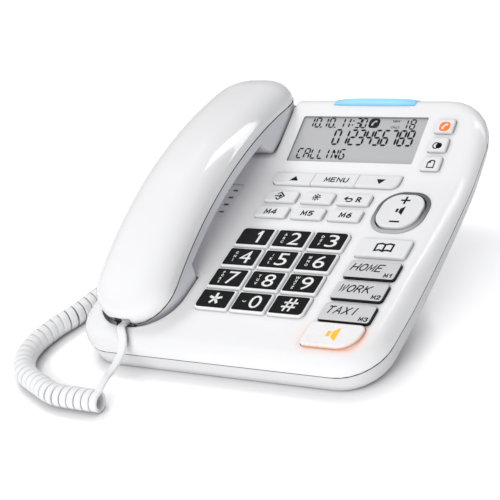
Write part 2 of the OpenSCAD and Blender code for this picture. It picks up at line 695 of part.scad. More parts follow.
// Posts that carry the board, on the tray
module lcd_panel() color("#aeb2b0") on_display() translate([window_x, window_y])
    plate(window_w - 1, window_h - 1, 0.6, -cover_t - 5.4, -cover_t - fit);
module display_window() color([0.8, 0.86, 0.86, 0.5]) on_display() translate([window_x, window_y])
    plate(window_w - 0.2, window_h - 0.2, 0.9, -window_t, -0.1);
module ringer_light() color("#8fd3f5") on_deck() difference() {
    intersection() {
        outer_cover();
        translate([bar_x - bar_len / 2 + 0.1, bar_y + 0.1, face_z(bar_y) - bar_deep + 0.1])
            cube([bar_len - 0.2, bar_w + 4, 12]);
    }
}
speaker_r = 17;
module base_speaker() color("#3a3b3e") on_deck() translate([-handset_x, grille_y, -cover_t - fit]) {
    translate([0, 0, -2]) cylinder(r = speaker_r, h = 2);
    translate([0, 0, -6]) cylinder(r1 = 8, r2 = speaker_r - 3, h = 4.4);
    translate([0, 0, -9]) cylinder(r = 9, h = 4);
}
module hook_plunger() color("#f4f5f7") on_deck() translate([plunger_at[0], plunger_at[1], ear_well_z]) {
    translate([-plunger_w / 2, -plunger_d / 2, -9]) cube([plunger_w, plunger_d, 9]);
    translate([-plunger_w / 2 - 1.5, -plunger_d / 2 - 1.5, -9]) cube([plunger_w + 3, plunger_d + 3, 1.4]);
}
// Open-fronted socket block with its opening toward -x
module jack_block(w, h, l, mw, mh, off = 0) difference() {
    translate([0, off - w / 2, -h / 2]) cube([l, w, h]);
    translate([-over, -mw / 2, -mh / 2]) cube([l - 2 + over, mw, mh]);
}
plug_l = 11;
plug_w = 7.6;
plug_h = 5.4;
mouth_w = plug_w + 2 * fit;
mouth_h = plug_h + 2 * fit;
module handset_jack() color("#2b2b2d") on_deck() translate([-half_w(jack_y) + jack_in + 0.2, jack_y, jack_z])
    jack_block(jack_w - 0.4, jack_h - 0.4, jack_len - 0.4, mouth_w, mouth_h);
module line_jack() color("#2b2b2d")
    translate([line_x, front_y + stand_y[1] - 0.4, line_z]) rotate([0, 0, -90])
        jack_block(line_w - 0.4, line_h - 0.4, 16, 10, 7);

module battery_cells() color("#4a6fa5") for (i = [0:cells - 1])
    translate([battery_at[0] - cell_l / 2, front_y + battery_at[1] + (i - (cells - 1) / 2) * cell_pitch,
               stand_z + door_t + fit + cell_d / 2])
        rotate([0, 90, 0]) cylinder(d = cell_d, h = cell_l);
module battery_door() color("#dcdfe3") difference() {
    translate([battery_at[0] - door_w / 2 + 0.2, front_y + battery_at[1] - door_d / 2 + 0.2, stand_z])
        cube([door_w - 0.4, door_d - 0.4, door_t]);
    for (i = [-1:1]) translate([battery_at[0] + 14 + 3 * i, front_y + battery_at[1] - 6, stand_z - over])
        cube([1.2, 12, over + 0.6]);
}
module rubber_feet() color("#3c3d40") for (p = concat(foot_xy, rear_foot_xy))
    translate([p[0], front_y + p[1], 0]) cylinder(d = foot_d, h = stand_z);
module case_screws() color("#8d9096") on_deck() for (p = boss_xy) translate([p[0], p[1], under_z(p)]) {
    translate([0, 0, screw_sink]) cylinder(d = screw_d - 0.2, h = screw_l - screw_sink);
    translate([0, 0, 0.2]) cylinder(d = screw_head, h = screw_sink - 0.2);
}

// ---------------------------------------------------------------- handset pieces
socket_w = 13;
socket_off = -1.7;   // its middle lies this far left of the plug, for the latch
socket_h = 7;
socket_l = plug_l + 2.6;
socket_at = [-handset_x, front_y + 28, deck_z + 3.6];
module socket_space(g)
    translate(socket_at + [socket_off - socket_w / 2 - g, -socket_l - 6, -socket_h / 2 - g])
        cube([socket_w + 2 * g, socket_l + 6 + g, socket_h + 2 * g]);
grip_screws = [100, 40];
grip_sink = 1.6;
module at_arch(s, h) translate(arch(0, s, h)) rotate([s / arch_r * 180 / PI, 0, 0]) children();

module handset_upper_shell() color("#f6f7f9") difference() {
    upper_body(0, crown_h, 0.15);
    upper_body(shell_t, crown_h - shell_t, 0.15);
    socket_space(fit);
}
sound_hole_r = 1;
hole_run = 6;        // the sound holes lie this far from their middle
ear_y = 176;         // middles of the two capsules, up the slope
mouth_y = 36;
module handset_lower_shell() color("#eceef2") difference() {
    lower_body(0, 0, -0.15);
    lower_body(shell_t, shell_t, -0.15);
    socket_space(fit);
    for (s = grip_screws) at_arch(s, -grip_d - over) cylinder(d = screw_head + 0.6, h = over + grip_sink);
    on_deck() for (a = [15:60:315])
        translate([-handset_x + hole_run * cos(a), ear_y + 2 + hole_run * sin(a), ear_floor - over])
            cylinder(r = sound_hole_r, h = 2 * shell_t + over);
    on_deck() for (i = [-1:1]) translate([-handset_x + i * hole_run, mouth_y, mouth_floor - over])
        cylinder(r = sound_hole_r, h = 2 * shell_t + over);
}
capsule_h = 4;
module receiver_capsule() color("#2e2f33") on_deck()
    translate([-handset_x, ear_y, ear_floor + shell_t + fit]) {
    cylinder(r = receiver_r, h = capsule_h);
    cylinder(r = 0.65 * receiver_r, h = 1.85 * capsule_h);
}
module microphone_capsule() color("#2e2f33") on_deck()
    translate([-handset_x, mouth_y, mouth_floor + shell_t + fit]) cylinder(r = 4.8, h = 1.25 * capsule_h);
weight_s = 70;
weight_size = [28, 44, 6];
module handset_weight() color("#8b8f94") at_arch(weight_s, -grip_d + shell_t + 0.6)
    translate([-weight_size[0] / 2, -weight_size[1] / 2, 0]) cube(weight_size);
module handset_socket() color("#2b2b2d") translate(socket_at) translate([0, -socket_l, 0]) rotate([0, 0, 90])
    jack_block(socket_w, socket_h, socket_l, mouth_w, mouth_h, -socket_off);
module handset_screws() color("#8d9096") for (s = grip_screws) at_arch(s, -grip_d + 0.2) {
    cylinder(d = screw_head, h = grip_sink - 0.2);
}

// ---------------------------------------------------------------- cord
// A modular plug about the cord's axis, its nose toward +x
module modular_plug() {
    translate([0, -plug_w / 2, -plug_h / 2]) cube([plug_l, plug_w, plug_h]);
    translate([-3, 0, 0]) rotate([0, 90, 0]) cylinder(r1 = wire_d / 2 + 0.4, r2 = wire_d / 2 + 1.2, h = 3);
}
lead_exit = [socket_at[0], socket_at[1] - socket_l - 3, socket_at[2]];
module handset_plug() color([0.9, 0.9, 0.9, 0.6])
    translate([socket_at[0], socket_at[1] - socket_l, socket_at[2]]) rotate([0, 0, 90]) modular_plug();
base_plug_x = -half_w(jack_y) - 1;
base_plug_at = [base_plug_x, front_y + jack_y * tilt_c - jack_z * tilt_s,
    deck_z + jack_y * tilt_s + jack_z * tilt_c];
module base_plug() color([0.9, 0.9, 0.9, 0.6])
    translate(base_plug_at) rotate([deck_tilt, 0, 0]) modular_plug();

// Smooth curve through points, with its first and last points met at their neighbours' slope
function spline_at(P, u) = let(
    n = len(P) - 1, i = min(n - 1, floor(u)), t = u - i,
    p0 = P[max(0, i - 1)], p1 = P[i], p2 = P[i + 1], p3 = P[min(n, i + 2)])
    0.5 * (2 * p1 + t * (p2 - p0) + t * t * (2 * p0 - 5 * p1 + 4 * p2 - p3)
        + t * t * t * (3 * p1 - p0 - 3 * p2 + p3));
function unit(v) = v / norm(v);
// Tube of given sides through points, each ring square to the path
module tube(P, r, sides) {
    n = len(P);
    T = [for (i = [0:n - 1]) unit(P[min(n - 1, i + 1)] - P[max(0, i - 1)])];
    frames = [for (i = 0, N = unit(cross(T[0], [0.31, 0.17, 0.93])); i < n;
        i = i + 1, N = i < n ? unit(N - T[i] * (N * T[i])) : N) N];
    rings = [for (i = [0:n - 1]) let(N = unit(frames[i] - T[i] * (frames[i] * T[i])), B = cross(T[i], N))
        for (k = [0:sides - 1]) P[i] + r * (cos(360 * k / sides) * N + sin(360 * k / sides) * B)];
    walls = [for (i = [0:n - 2], k = [0:sides - 1]) let(a = i * sides, b = a + sides, j = (k + 1) % sides)
        each [[a + k, b + k, b + j], [a + k, b + j, a + j]]];
    polyhedron(points = rings, faces = concat(walls,
        [[for (k = [0:sides - 1]) k]], [[for (k = [sides - 1:-1:0]) (n - 1) * sides + k]]));
}

// Centreline of the curly part, from the front end round to the left side
coil_xy = [[-50.9, -132.8], [-67.9, -133], [-83.8, -131.9], [-98.5, -126.3], [-114.8, -118.4],
    [-125.2, -107.4], [-130, -93.3], [-128.8, -76.3], [-123.8, -61], [-120.6, -44.9], [-117.6, -29.5],
    [-115.6, -14.1], [-114.9, 2.1]];
// The curls lie on the table
coil_pts = [for (p = coil_xy) [p[0], p[1], coil_d / 2 + 0.02]];
coil_r = (coil_d - wire_d) / 2;
curl_rings = 8;
// The last curl stops a quarter turn early, where its wire rises
last_ring = curls * curl_rings - curl_rings / 4;
coil_n = len(coil_pts) - 1;
// Lengths along the centreline, measured on fine steps
fine = 8;
fine_pts = [for (k = [0:coil_n * fine]) spline_at(coil_pts, k / fine)];
fine_len = [for (k = 0, l = 0; k <= coil_n * fine; k = k + 1,
    l = l + (k <= coil_n * fine ? norm(fine_pts[k] - fine_pts[k - 1]) : 0)) l];
coil_len = fine_len[coil_n * fine];
function u_of(l, k = 0) = k >= coil_n * fine ? coil_n
    : fine_len[k + 1] >= l ? (k + (l - fine_len[k]) / (fine_len[k + 1] - fine_len[k])) / fine
    : u_of(l, k + 1);
function coil_point(a) = let(
    u = u_of(coil_len * a / (360 * curls)),
    c = spline_at(coil_pts, u),
    t = unit(spline_at(coil_pts, min(coil_n, u + 0.05)) - spline_at(coil_pts, max(0, u - 0.05))),
    side = unit(cross(t, [0, 0, 1])), up = cross(side, t))
    c + coil_r * (cos(a + 90) * side + sin(a + 90) * up);
coil_path = [for (k = [0:last_ring]) coil_point(360 * k / curl_rings)];
coil_start = coil_path[0];
coil_stop = coil_path[last_ring];
start_dir = unit(coil_path[0] - coil_path[1]);
stop_dir = unit(coil_stop - coil_path[last_ring - 1]);
coil_tube = concat([coil_start + wire_d * start_dir], coil_path, [coil_stop + wire_d * stop_dir]);
// Least gap between neighbouring turns, measured point to segment
function seg_gap(p, a, b) = let(t = min(1, max(0, (p - a) * (b - a) / ((b - a) * (b - a)))))
    norm(p - a - t * (b - a));
coil_gap = min([for (i = [0:len(coil_path) - curl_rings - 3], k = [curl_rings / 2:curl_rings * 3 / 2 + 1])
    if (i + k + 1 < len(coil_path)) seg_gap(coil_path[i], coil_path[i + k], coil_path[i + k + 1])]) - wire_d;
echo(coil_gap = coil_gap, coil_len = coil_len);

module cord_coil() color("#eef0f3") tube(coil_tube, wire_d / 2, 6);

lead_pts = [[-59.8, -92.3, 22.7], [-57.4, -95.3, 20.9], [-55.8, -98.3, 19], [-54.8, -101.6, 17.1],
    [-54.3, -105.1, 15.4], [-53.7, -111.9, 13.9], [-52.6, -118.4, 13.7], [-51.3, -123.8, 14.2]];
tail_pts = [[-107.8, 1.7, 15], [-109, 1.9, 19.5], [-110.1, 2.1, 23.6], [-108.2, 2.2, 28]];
// Steps along a run between two fixed ends, straight for one diameter at each
function run_path(a, da, mid, b, db) = let(
    P = concat([a, a + wire_d * da], mid, [b + wire_d * db, b]), n = len(P) - 3, q = 3)
    concat([a], [for (k = [0:n * q]) spline_at(P, 1 + k / q)], [b]);
lead_start = [socket_at[0], socket_at[1] - socket_l - 3, socket_at[2]];
lead_path = run_path(lead_start, [0, -1, 0], lead_pts, coil_start + wire_d * start_dir, start_dir);
tail_end = base_plug_at - [3, 0, 0];
tail_path = run_path(coil_stop + wire_d * stop_dir, stop_dir, tail_pts, tail_end, [-1, 0, 0]);
module cord_lead() color("#eef0f3") tube(lead_path, wire_d / 2, 8);
module cord_tail() color("#eef0f3") tube(tail_path, wire_d / 2, 8);

// ---------------------------------------------------------------- pieces
NODES = concat(["top_cover", "base_tray", "display_window", "lcd_panel", "ringer_light", "key_mat",
    "main_board", "base_speaker", "handset_jack", "line_jack", "hook_plunger", "battery_cells",
    "battery_door", "rubber_feet", "case_screws", "volume_ring", "volume_rocker", "key_phonebook",
    "key_handsfree"], digit_names, func_names, memory_names, side_names, nav_names,
    ["handset_upper_shell", "handset_lower_shell", "receiver_capsule", "microphone_capsule",
    "handset_weight", "handset_socket", "handset_screws", "handset_plug", "cord_lead", "cord_coil",
    "cord_tail", "base_plug"]);
node = "all";
function shown(name) = node == "all" || node == name;

if (shown("top_cover")) top_cover();
if (shown("base_tray")) base_tray();
if (shown("display_window")) display_window();
if (shown("lcd_panel")) lcd_panel();
if (shown("ringer_light")) ringer_light();
if (shown("key_mat")) key_mat();
if (shown("main_board")) main_board();
if (shown("base_speaker")) base_speaker();
if (shown("handset_jack")) handset_jack();
if (shown("line_jack")) line_jack();
if (shown("hook_plunger")) hook_plunger();
if (shown("battery_cells")) battery_cells();
if (shown("battery_door")) battery_door();
if (shown("rubber_feet")) rubber_feet();
if (shown("case_screws")) case_screws();
if (shown("volume_ring")) volume_ring();
if (shown("volume_rocker")) volume_rocker();
if (shown("key_phonebook")) phonebook_key();
if (shown("key_handsfree")) speaker_key_cap();
for (i = [0:11]) if (shown(digit_names[i])) digit_key(i);
for (i = [0:5]) if (shown(func_names[i])) func_key(i);
for (i = [0:2]) if (shown(memory_names[i])) memory_key(i);
for (i = [0:2]) if (shown(side_names[i])) side_face_key(i);
for (i = [0:2]) if (shown(nav_names[i])) nav_key(i);
if (shown("handset_upper_shell")) handset_upper_shell();
if (shown("handset_lower_shell")) handset_lower_shell();
if (shown("receiver_capsule")) receiver_capsule();
if (shown("microphone_capsule")) microphone_capsule();
if (shown("handset_weight")) handset_weight();
if (shown("handset_socket")) handset_socket();
if (shown("handset_screws")) handset_screws();
if (shown("handset_plug")) handset_plug();
if (shown("cord_lead")) cord_lead();
if (shown("cord_coil")) cord_coil();
if (shown("cord_tail")) cord_tail();
if (shown("base_plug")) base_plug();
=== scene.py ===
# %% [markdown]
# # A corded desk telephone with large keys
# A white desk telephone has a sloping base with big keys and a display, and an arched handset on a
# curly cord. Its housings, keys and joints come from the fixed frame, which is already the right size.
# Here each piece gets its finish, its print and its soft edges, and the cord gets its flat curly wire.

# %% Load the fixed frame
import json
import math
import bmesh
import bpy
from mathutils import Matrix, Vector


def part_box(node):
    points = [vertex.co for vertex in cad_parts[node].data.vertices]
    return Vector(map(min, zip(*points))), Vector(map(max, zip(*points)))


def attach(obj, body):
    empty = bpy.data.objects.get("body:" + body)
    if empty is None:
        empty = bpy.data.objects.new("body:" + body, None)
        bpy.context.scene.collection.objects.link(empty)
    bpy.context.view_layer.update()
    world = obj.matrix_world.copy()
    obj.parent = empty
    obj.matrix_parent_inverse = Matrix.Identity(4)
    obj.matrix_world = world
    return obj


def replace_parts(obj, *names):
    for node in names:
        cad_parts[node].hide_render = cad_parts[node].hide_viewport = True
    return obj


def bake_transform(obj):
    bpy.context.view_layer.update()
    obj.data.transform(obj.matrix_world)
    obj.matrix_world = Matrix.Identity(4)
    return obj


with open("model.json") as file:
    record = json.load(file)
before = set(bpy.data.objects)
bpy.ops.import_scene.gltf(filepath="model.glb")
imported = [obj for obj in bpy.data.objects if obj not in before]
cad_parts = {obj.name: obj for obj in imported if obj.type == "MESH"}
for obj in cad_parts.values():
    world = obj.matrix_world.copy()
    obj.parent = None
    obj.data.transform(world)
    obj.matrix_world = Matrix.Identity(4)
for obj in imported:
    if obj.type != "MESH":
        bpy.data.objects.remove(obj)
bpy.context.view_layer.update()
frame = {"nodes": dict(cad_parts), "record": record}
nodes = frame["nodes"]
body_of = {n: b for b, members in frame["record"]["behaviour"]["bodies"].items() for n in members}
MM = 0.001

# %% [markdown]
# Two faces carry all the print: the key face, which slopes up from the front edge, and the display
# face, which is folded up behind it. A small frame of axes for each lets every mark be placed in
# millimetres across and up its own face, instead of working out the slope each time.

# %% Axes of the key face and the display face
key_slope = math.radians(12)
display_fold = math.radians(14)
fold_line = 138
key_face = Matrix.Translation((0, -97.92 * MM, 19.6 * MM)) @ Matrix.Rotation(key_slope, 4, "X")
display_face = key_face @ Matrix.Translation((0, fold_line * MM, 0)) @ Matrix.Rotation(display_fold, 4, "X")


def on_face(face, x, y, z):
    """A place in mm across, up and out of a face, as a point of the scene."""
    return face @ (Vector((x, y, z)) * MM)


print("display fold at", [round(v / MM, 1) for v in display_face.translation], "mm")

# %% [markdown]
# ## Camera
# A long lens from the front right, well above the table, keeps the housing's edges nearly parallel.

# %% Place the camera


def in_scene(name, data):
    """An object of this data, linked to the scene."""
    made = bpy.data.objects.new(name, data)
    bpy.context.scene.collection.objects.link(made)
    return made


lens = bpy.data.cameras.new("studio_camera")
lens.lens = 122.4
lens.sensor_width = 36
camera = in_scene("studio_camera", lens)
camera.matrix_world = Matrix((
    (0.8160068, -0.0548514, 0.5754339, 0.523563),
    (0.5140250, 0.5242113, -0.6789557, -0.657795),
    (-0.2644073, 0.8498199, 0.4559550, 0.460797),
    (0, 0, 0, 1)))
bpy.context.scene.camera = camera
print("camera", round(camera.matrix_world.translation.length, 2), "m from the middle of the table")

# %% [markdown]
# ## Cord
# The handset cord is a flat, soft wire: a short straight lead, about forty tight curls whose flat
# sides form a ribbed hose, and a short tail into the base. It could be a curve with a round bevel, but
# a node tree that sweeps a rounded outline along a line keeps the wire's width and thickness in named
# inputs, and an arrow stored on each point says which way the flat side faces. The points follow the
# route of the frame's own cord, so they also give its length.

# %% Route of the cord, in millimetres
flat_width = 4.7
flat_thick = 1.8
curl_radius = 5.35
curl_count = 38
curl_height = 6.27
rest_line = [(-50.9, -132.8), (-67.9, -133), (-83.8, -131.9), (-98.5, -126.3), (-114.8, -118.4),
             (-125.2, -107.4), (-130, -93.3), (-128.8, -76.3), (-123.8, -61), (-120.6, -44.9),
             (-117.6, -29.5), (-115.6, -14.1), (-114.9, 2.1)]
lead_line = [(-62, -86.52, 23.2), (-62, -89.2, 23.2), (-59.8, -92.3, 22.7), (-57.4, -95.3, 20.9),
             (-55.8, -98.3, 19), (-54.8, -101.6, 17.1), (-54.3, -105.1, 15.4), (-53.7, -111.9, 13.9),
             (-52.6, -118.4, 13.7), (-51.3, -123.8, 14.2), (-50.66, -130.3, 12.7)]
tail_line = [(-108.75, 1.33, 9), (-107.8, 1.7, 15), (-109, 1.9, 19.5), (-110.1, 2.1, 23.6),
             (-108.2, 2.2, 28), (-104.25, 2.2, 29.5), (-101.55, 2.2, 29.53)]
print("route points", len(rest_line) + len(lead_line) + len(tail_line))

# %% [markdown]
# A smooth curve runs through the points of each line. The curls wind round that curve with an even
# turn, and every step keeps the arrow from the curve out to the wire, which is the way its flat side
# faces. A helix with a fixed axis could not do this, because the curls lie on the table in an arc.

# %% Curls along the route
steps_per_curl = 24
steps_per_stretch = 32


def smooth_point(points, u):
    """A point on the smooth curve that passes through all the points."""
    i = min(len(points) - 2, int(u))
    t = u - i
    a, b, c, d = (points[max(0, min(len(points) - 1, k))] for k in (i - 1, i, i + 1, i + 2))
    return 0.5 * (2 * b + t * (c - a) + t * t * (2 * a - 5 * b + 4 * c - d)
                  + t ** 3 * (3 * b - a - 3 * c + d))


def curl_points():
    """The curls' centreline and the way its flat side faces, with an even turn from step to step."""
    line = [Vector((x, y, curl_height)) for x, y in rest_line]
    top = len(line) - 1
    fine = [smooth_point(line, k / steps_per_stretch) for k in range(steps_per_stretch * top + 1)]
    run = [0.0]
    for a, b in zip(fine, fine[1:]):
        run.append(run[-1] + (b - a).length)
    # The last curl stops a quarter turn early, where the tail leaves it.
    last = round((curl_count - 0.25) * steps_per_curl)
    points, faces, k = [], [], 0
    for i in range(last + 1):
        s = run[-1] * i / (steps_per_curl * curl_count)
        while k < len(run) - 2 and run[k + 1] < s:
            k += 1
        u = (k + (s - run[k]) / (run[k + 1] - run[k])) / steps_per_stretch
        along = (smooth_point(line, min(top, u + 0.05)) - smooth_point(line, max(0, u - 0.05))).normalized()
        side = along.cross(Vector((0, 0, 1))).normalized()
        up = side.cross(along)
        turn = 2 * math.pi * i / steps_per_curl
        faces.append(-math.sin(turn) * side + math.cos(turn) * up)
        points.append(smooth_point(line, u) + curl_radius * faces[-1])
    return points, faces


curls, curl_faces = curl_points()
print("points on the curls", len(curls))

# %% [markdown]
# The straight lead and the tail are smooth lines that run into the first and the last points of the curls.
# The cord is cut into two runs after a few curls, because on the real telephone only the curls before the cut
# stretch when the handset is lifted, while the rest stay on the table.

# %% The two runs of the cord
free_curls = 7
lead_knots = [Vector(p) for p in lead_line] + curls[:2]
tail_knots = curls[-2:] + [Vector(p) for p in tail_line]
lead = [smooth_point(lead_knots, k / 4) for k in range(4 * (len(lead_knots) - 2))]
tail = [smooth_point(tail_knots, 1 + k / 4) for k in range(1, 4 * (len(tail_knots) - 2) + 1)]


def flat_side(points, across):
    """The way the flat side faces on a straight stretch, square to the line and to across."""
    return [(points[min(i + 1, len(points) - 1)] - points[max(i - 1, 0)]).cross(across).normalized()
            for i in range(len(points))]


def run_length(points):
    return sum((b - a).length for a, b in zip(points, points[1:]))


cut = free_curls * steps_per_curl
first_run = [p * MM for p in lead + curls[:cut + 1]]
first_faces = flat_side(lead, Vector((1, 0, 0))) + curl_faces[:cut + 1]
second_run = [p * MM for p in curls[cut:] + tail]
second_faces = curl_faces[cut:] + flat_side(tail, Vector((0, -1, 0)))
print("cord length", round(run_length(first_run) + run_length(second_run), 3), "m")

# %% [markdown]
# Node trees are written with a few small helpers: they feed an input with a number or a link, add a
# node with its inputs, name the sockets of a whole tree, and link nodes to each other.

# %% Helpers for node trees


def feed(socket, value):
    """Give an input a constant, or link another node's output to it."""
    if isinstance(value, bpy.types.NodeSocket):
        socket.id_data.links.new(value, socket)
    else:
        socket.default_value = value


def add_node(tree, kind, inputs=(), **settings):
    """A node of a kind; settings are its own options, inputs its sockets and what they get."""
    made = tree.nodes.new(kind)
    for name, value in settings.items():
        setattr(made, name, value)
    for name, value in dict(inputs).items():
        feed(made.inputs[name], value)
    return made


def add_sockets(tree, direction, sockets):
    for label, kind in sockets:
        tree.interface.new_socket(label, in_out=direction, socket_type="NodeSocket" + kind)


def join(tree, *joints):
    """Link nodes; each joint is (from node, its output, to node, its input)."""
    for source, output, target, entry in joints:
        tree.links.new(source.outputs[output], target.inputs[entry])


print("node groups so far", len(bpy.data.node_groups))

# %% [markdown]
# The node tree of the wire turns the bare line into a curve, turns its flat side the way that the
# arrows say, and carries a rounded flat outline along it. It closes both ends, so nothing looks into a
# hollow.

# %% Node tree that sweeps a line into a flat wire


def wire_tree():
    tree = bpy.data.node_groups.new("Wire along a line", "GeometryNodeTree")
    add_sockets(tree, "INPUT", (("Line", "Geometry"), ("Wire width", "Float"), ("Wire thickness", "Float"),
                                ("Corner radius", "Float"), ("Corner steps", "Int"),
                                ("Finish", "Material")))
    add_sockets(tree, "OUTPUT", (("Wire", "Geometry"),))
    start, end = add_node(tree, "NodeGroupInput"), add_node(tree, "NodeGroupOutput")
    curve = add_node(tree, "GeometryNodeMeshToCurve")
    outline = add_node(tree, "GeometryNodeCurvePrimitiveQuadrilateral")
    soft = add_node(tree, "GeometryNodeFilletCurve", {"Limit Radius": True}, mode="POLY")
    arrows = add_node(tree, "GeometryNodeInputNamedAttribute", {"Name": "flat_side"},
                      data_type="FLOAT_VECTOR")
    turned = add_node(tree, "GeometryNodeSetCurveNormal", mode="FREE")
    sweep = add_node(tree, "GeometryNodeCurveToMesh", {"Fill Caps": True})
    smooth = add_node(tree, "GeometryNodeSetShadeSmooth")
    real = add_node(tree, "GeometryNodeRealizeInstances")
    paint = add_node(tree, "GeometryNodeSetMaterial")
    join(tree, (start, "Line", curve, "Mesh"), (curve, "Curve", turned, "Curve"),
         (arrows, "Attribute", turned, "Normal"), (start, "Wire thickness", outline, "Width"),
         (start, "Wire width", outline, "Height"), (start, "Corner radius", soft, "Radius"),
         (start, "Corner steps", soft, "Count"), (outline, "Curve", soft, "Curve"),
         (turned, "Curve", sweep, "Curve"), (soft, "Curve", sweep, "Profile Curve"),
         (sweep, "Mesh", smooth, "Geometry"), (smooth, "Geometry", real, "Geometry"),
         (real, "Geometry", paint, "Geometry"), (start, "Finish", paint, "Material"),
         (paint, "Geometry", end, "Wire"))
    return tree


sweep_wire = wire_tree()
print("nodes in the wire's tree", len(sweep_wire.nodes))

# %% [markdown]
# A node tree works on an object with bare points or edges. What it makes is kept as a plain mesh, and
# the bare object goes, so that the finished piece has no live tree in it.

# %% From bare points to a plain piece


def bare_object(name, points, edges=(), faces=()):
    mesh = bpy.data.meshes.new(name)
    mesh.from_pydata([tuple(p) for p in points], list(edges), list(faces))
    return in_scene(name, mesh)


def mesh_of(obj, name):
    """The mesh that an object shows, as a plain mesh; the object and its data go."""
    layer = bpy.context.evaluated_depsgraph_get()
    layer.update()
    mesh = bpy.data.meshes.new_from_object(obj.evaluated_get(layer))
    mesh.name = name
    data, stores = obj.data, bpy.data.curves if obj.type == "FONT" else bpy.data.meshes
    bpy.data.objects.remove(obj)
    stores.remove(data)
    return mesh


def made_by(tree, obj, inputs, name):
    """The piece that a node tree makes of an object, with the tree's inputs set by identifier."""
    modifier = obj.modifiers.new(tree.name, "NODES")
    modifier.node_group = tree
    for item in tree.interface.items_tree:
        if item.item_type == "SOCKET" and item.in_out == "INPUT" and item.name in inputs:
            modifier[item.identifier] = inputs[item.name]
    return in_scene(name, mesh_of(obj, name))


# %% [markdown]
# ## Finishes
# Moulded plastic is never perfectly flat or even: it has a very fine ripple from the mould, and small
# differences in gloss where it has been handled. Its gaps and inner corners get little light, and painted
# shade darkens its colour there. One shared shader group makes all of these from the piece's own coordinates
# and its surroundings, so every housing and key shows the same plastic at the same scale.

# %% Helpers for finishes


def shader_group(name, inputs, outputs):
    group = bpy.data.node_groups.new(name, "ShaderNodeTree")
    for label, kind, value in inputs:
        socket = group.interface.new_socket(label, in_out="INPUT", socket_type="NodeSocket" + kind)
        socket.default_value = value
    add_sockets(group, "OUTPUT", outputs)
    return group, add_node(group, "NodeGroupInput"), add_node(group, "NodeGroupOutput")


def math_node(tree, operation, *values, clamp=False):
    """A Math node; each value is a number or another node's output."""
    return add_node(tree, "ShaderNodeMath", enumerate(values), operation=operation,
                    use_clamp=clamp).outputs[0]


def own_place(tree):
    return add_node(tree, "ShaderNodeTexCoord").outputs["Object"]


def noise(tree, place, scale, detail=2.0):
    return add_node(tree, "ShaderNodeTexNoise",
                    {"Vector": place, "Scale": scale, "Detail": detail}).outputs["Fac"]


def rgb(*values):
    """Linear colour from screen values of 0 to 255."""
    return tuple((v / 255 / 12.92 if v < 10.3 else ((v / 255 + 0.055) / 1.055) ** 2.4) for v in values) + (1,)


print("screen grey 188 is", round(rgb(188)[0], 3), "in linear light")

# %% [markdown]
# The group paints shade into the colour where other surfaces are within a few millimetres, so gaps and inner
# corners come out darker. It varies the gloss in broad patches, and gives the shading a fine grain, as a
# mould leaves it. The grain is far too fine to be geometry, so a bump is the right way to make it.

# %% Shared group for moulded plastic


def moulded_group():
    group, start, end = shader_group(
        "Moulded plastic",
        [("Color", "Color", (0.8, 0.8, 0.8, 1)), ("Roughness", "Float", 0.3), ("Ripple", "Float", 0.1),
         ("Grain size", "Float", 900.0), ("Painted crevice shade", "Float", 0.6)],
        [("Color", "Color"), ("Roughness", "Float"), ("Normal", "Vector")])
    place = own_place(group)
    shade = math_node(group, "MULTIPLY_ADD", noise(group, place, 14.0, 3.0), 0.05, 0.972)
    # Painted shade: the colour darkens where other surfaces are within a few millimetres.
    nearby = add_node(group, "ShaderNodeAmbientOcclusion", {"Distance": 4 * MM}, samples=8)
    closed_in = math_node(group, "SUBTRACT", 1.0, nearby.outputs["AO"])
    dark = math_node(group, "MULTIPLY", closed_in, start.outputs["Painted crevice shade"])
    shade = math_node(group, "MULTIPLY", shade, math_node(group, "SUBTRACT", 1.0, dark))
    grey = add_node(group, "ShaderNodeCombineColor", {"Red": shade, "Green": shade, "Blue": shade})
    tint = add_node(group, "ShaderNodeMix", {"Factor": 1.0}, data_type="RGBA", blend_type="MULTIPLY")
    gloss = math_node(group, "MULTIPLY_ADD", noise(group, place, 60.0, 4.0), 0.10, -0.05)
    feed(end.inputs["Roughness"], math_node(group, "ADD", start.outputs["Roughness"], gloss, clamp=True))
    grain = noise(group, place, start.outputs["Grain size"], 1.0)
    bump = add_node(group, "ShaderNodeBump", {"Distance": 0.08 * MM, "Height": grain})
    join(group, (start, "Color", tint, "A"), (grey, "Color", tint, "B"), (tint, "Result", end, "Color"),
         (start, "Ripple", bump, "Strength"), (bump, "Normal", end, "Normal"))
    return group


moulded_plastic = moulded_group()
print("nodes in the moulded group", len(moulded_plastic.nodes))

# %% [markdown]
# Each finish is a material of its own with this group in it, so its colour, gloss, ripple and grain can
# differ from the others. A coat is a thin clear gloss over the plastic, as on a polished housing.

# %% Finishes of the housings and the cord


def new_finish(name):
    """A new material, its node tree and its Principled node."""
    material = bpy.data.materials.new(name)
    material.use_nodes = True
    return material, material.node_tree, material.node_tree.nodes["Principled BSDF"]


def plastic(name, color, roughness, ripple, grain, coat=0.0, specular=0.5, crevice_shade=0.6,
            coat_roughness=0.08):
    """A moulded plastic; returns the material, its group node and its Principled node."""
    material, tree, surface = new_finish(name)
    group = add_node(tree, "ShaderNodeGroup", node_tree=moulded_plastic)
    for label, value in (("Color", color), ("Roughness", roughness), ("Ripple", ripple),
                         ("Grain size", grain), ("Painted crevice shade", crevice_shade)):
        group.inputs[label].default_value = value
    for label, value in (("Coat Weight", coat), ("Coat Roughness", coat_roughness),
                         ("Specular IOR Level", specular)):
        surface.inputs[label].default_value = value
    join(tree, (group, "Color", surface, "Base Color"), (group, "Roughness", surface, "Roughness"),
         (group, "Normal", surface, "Normal"))
    return material, group, surface


white_shell, _, _ = plastic("white_gloss_plastic", rgb(246, 246, 247), 0.22, 0.05, 700, coat=0.3)
lower_white, _, _ = plastic("white_tray_plastic", rgb(236, 236, 238), 0.34, 0.08, 900)
cord_white, _, _ = plastic("white_cord_pvc", rgb(246, 246, 247), 0.4, 0.12, 1500)
print("finishes so far", len(bpy.data.materials))
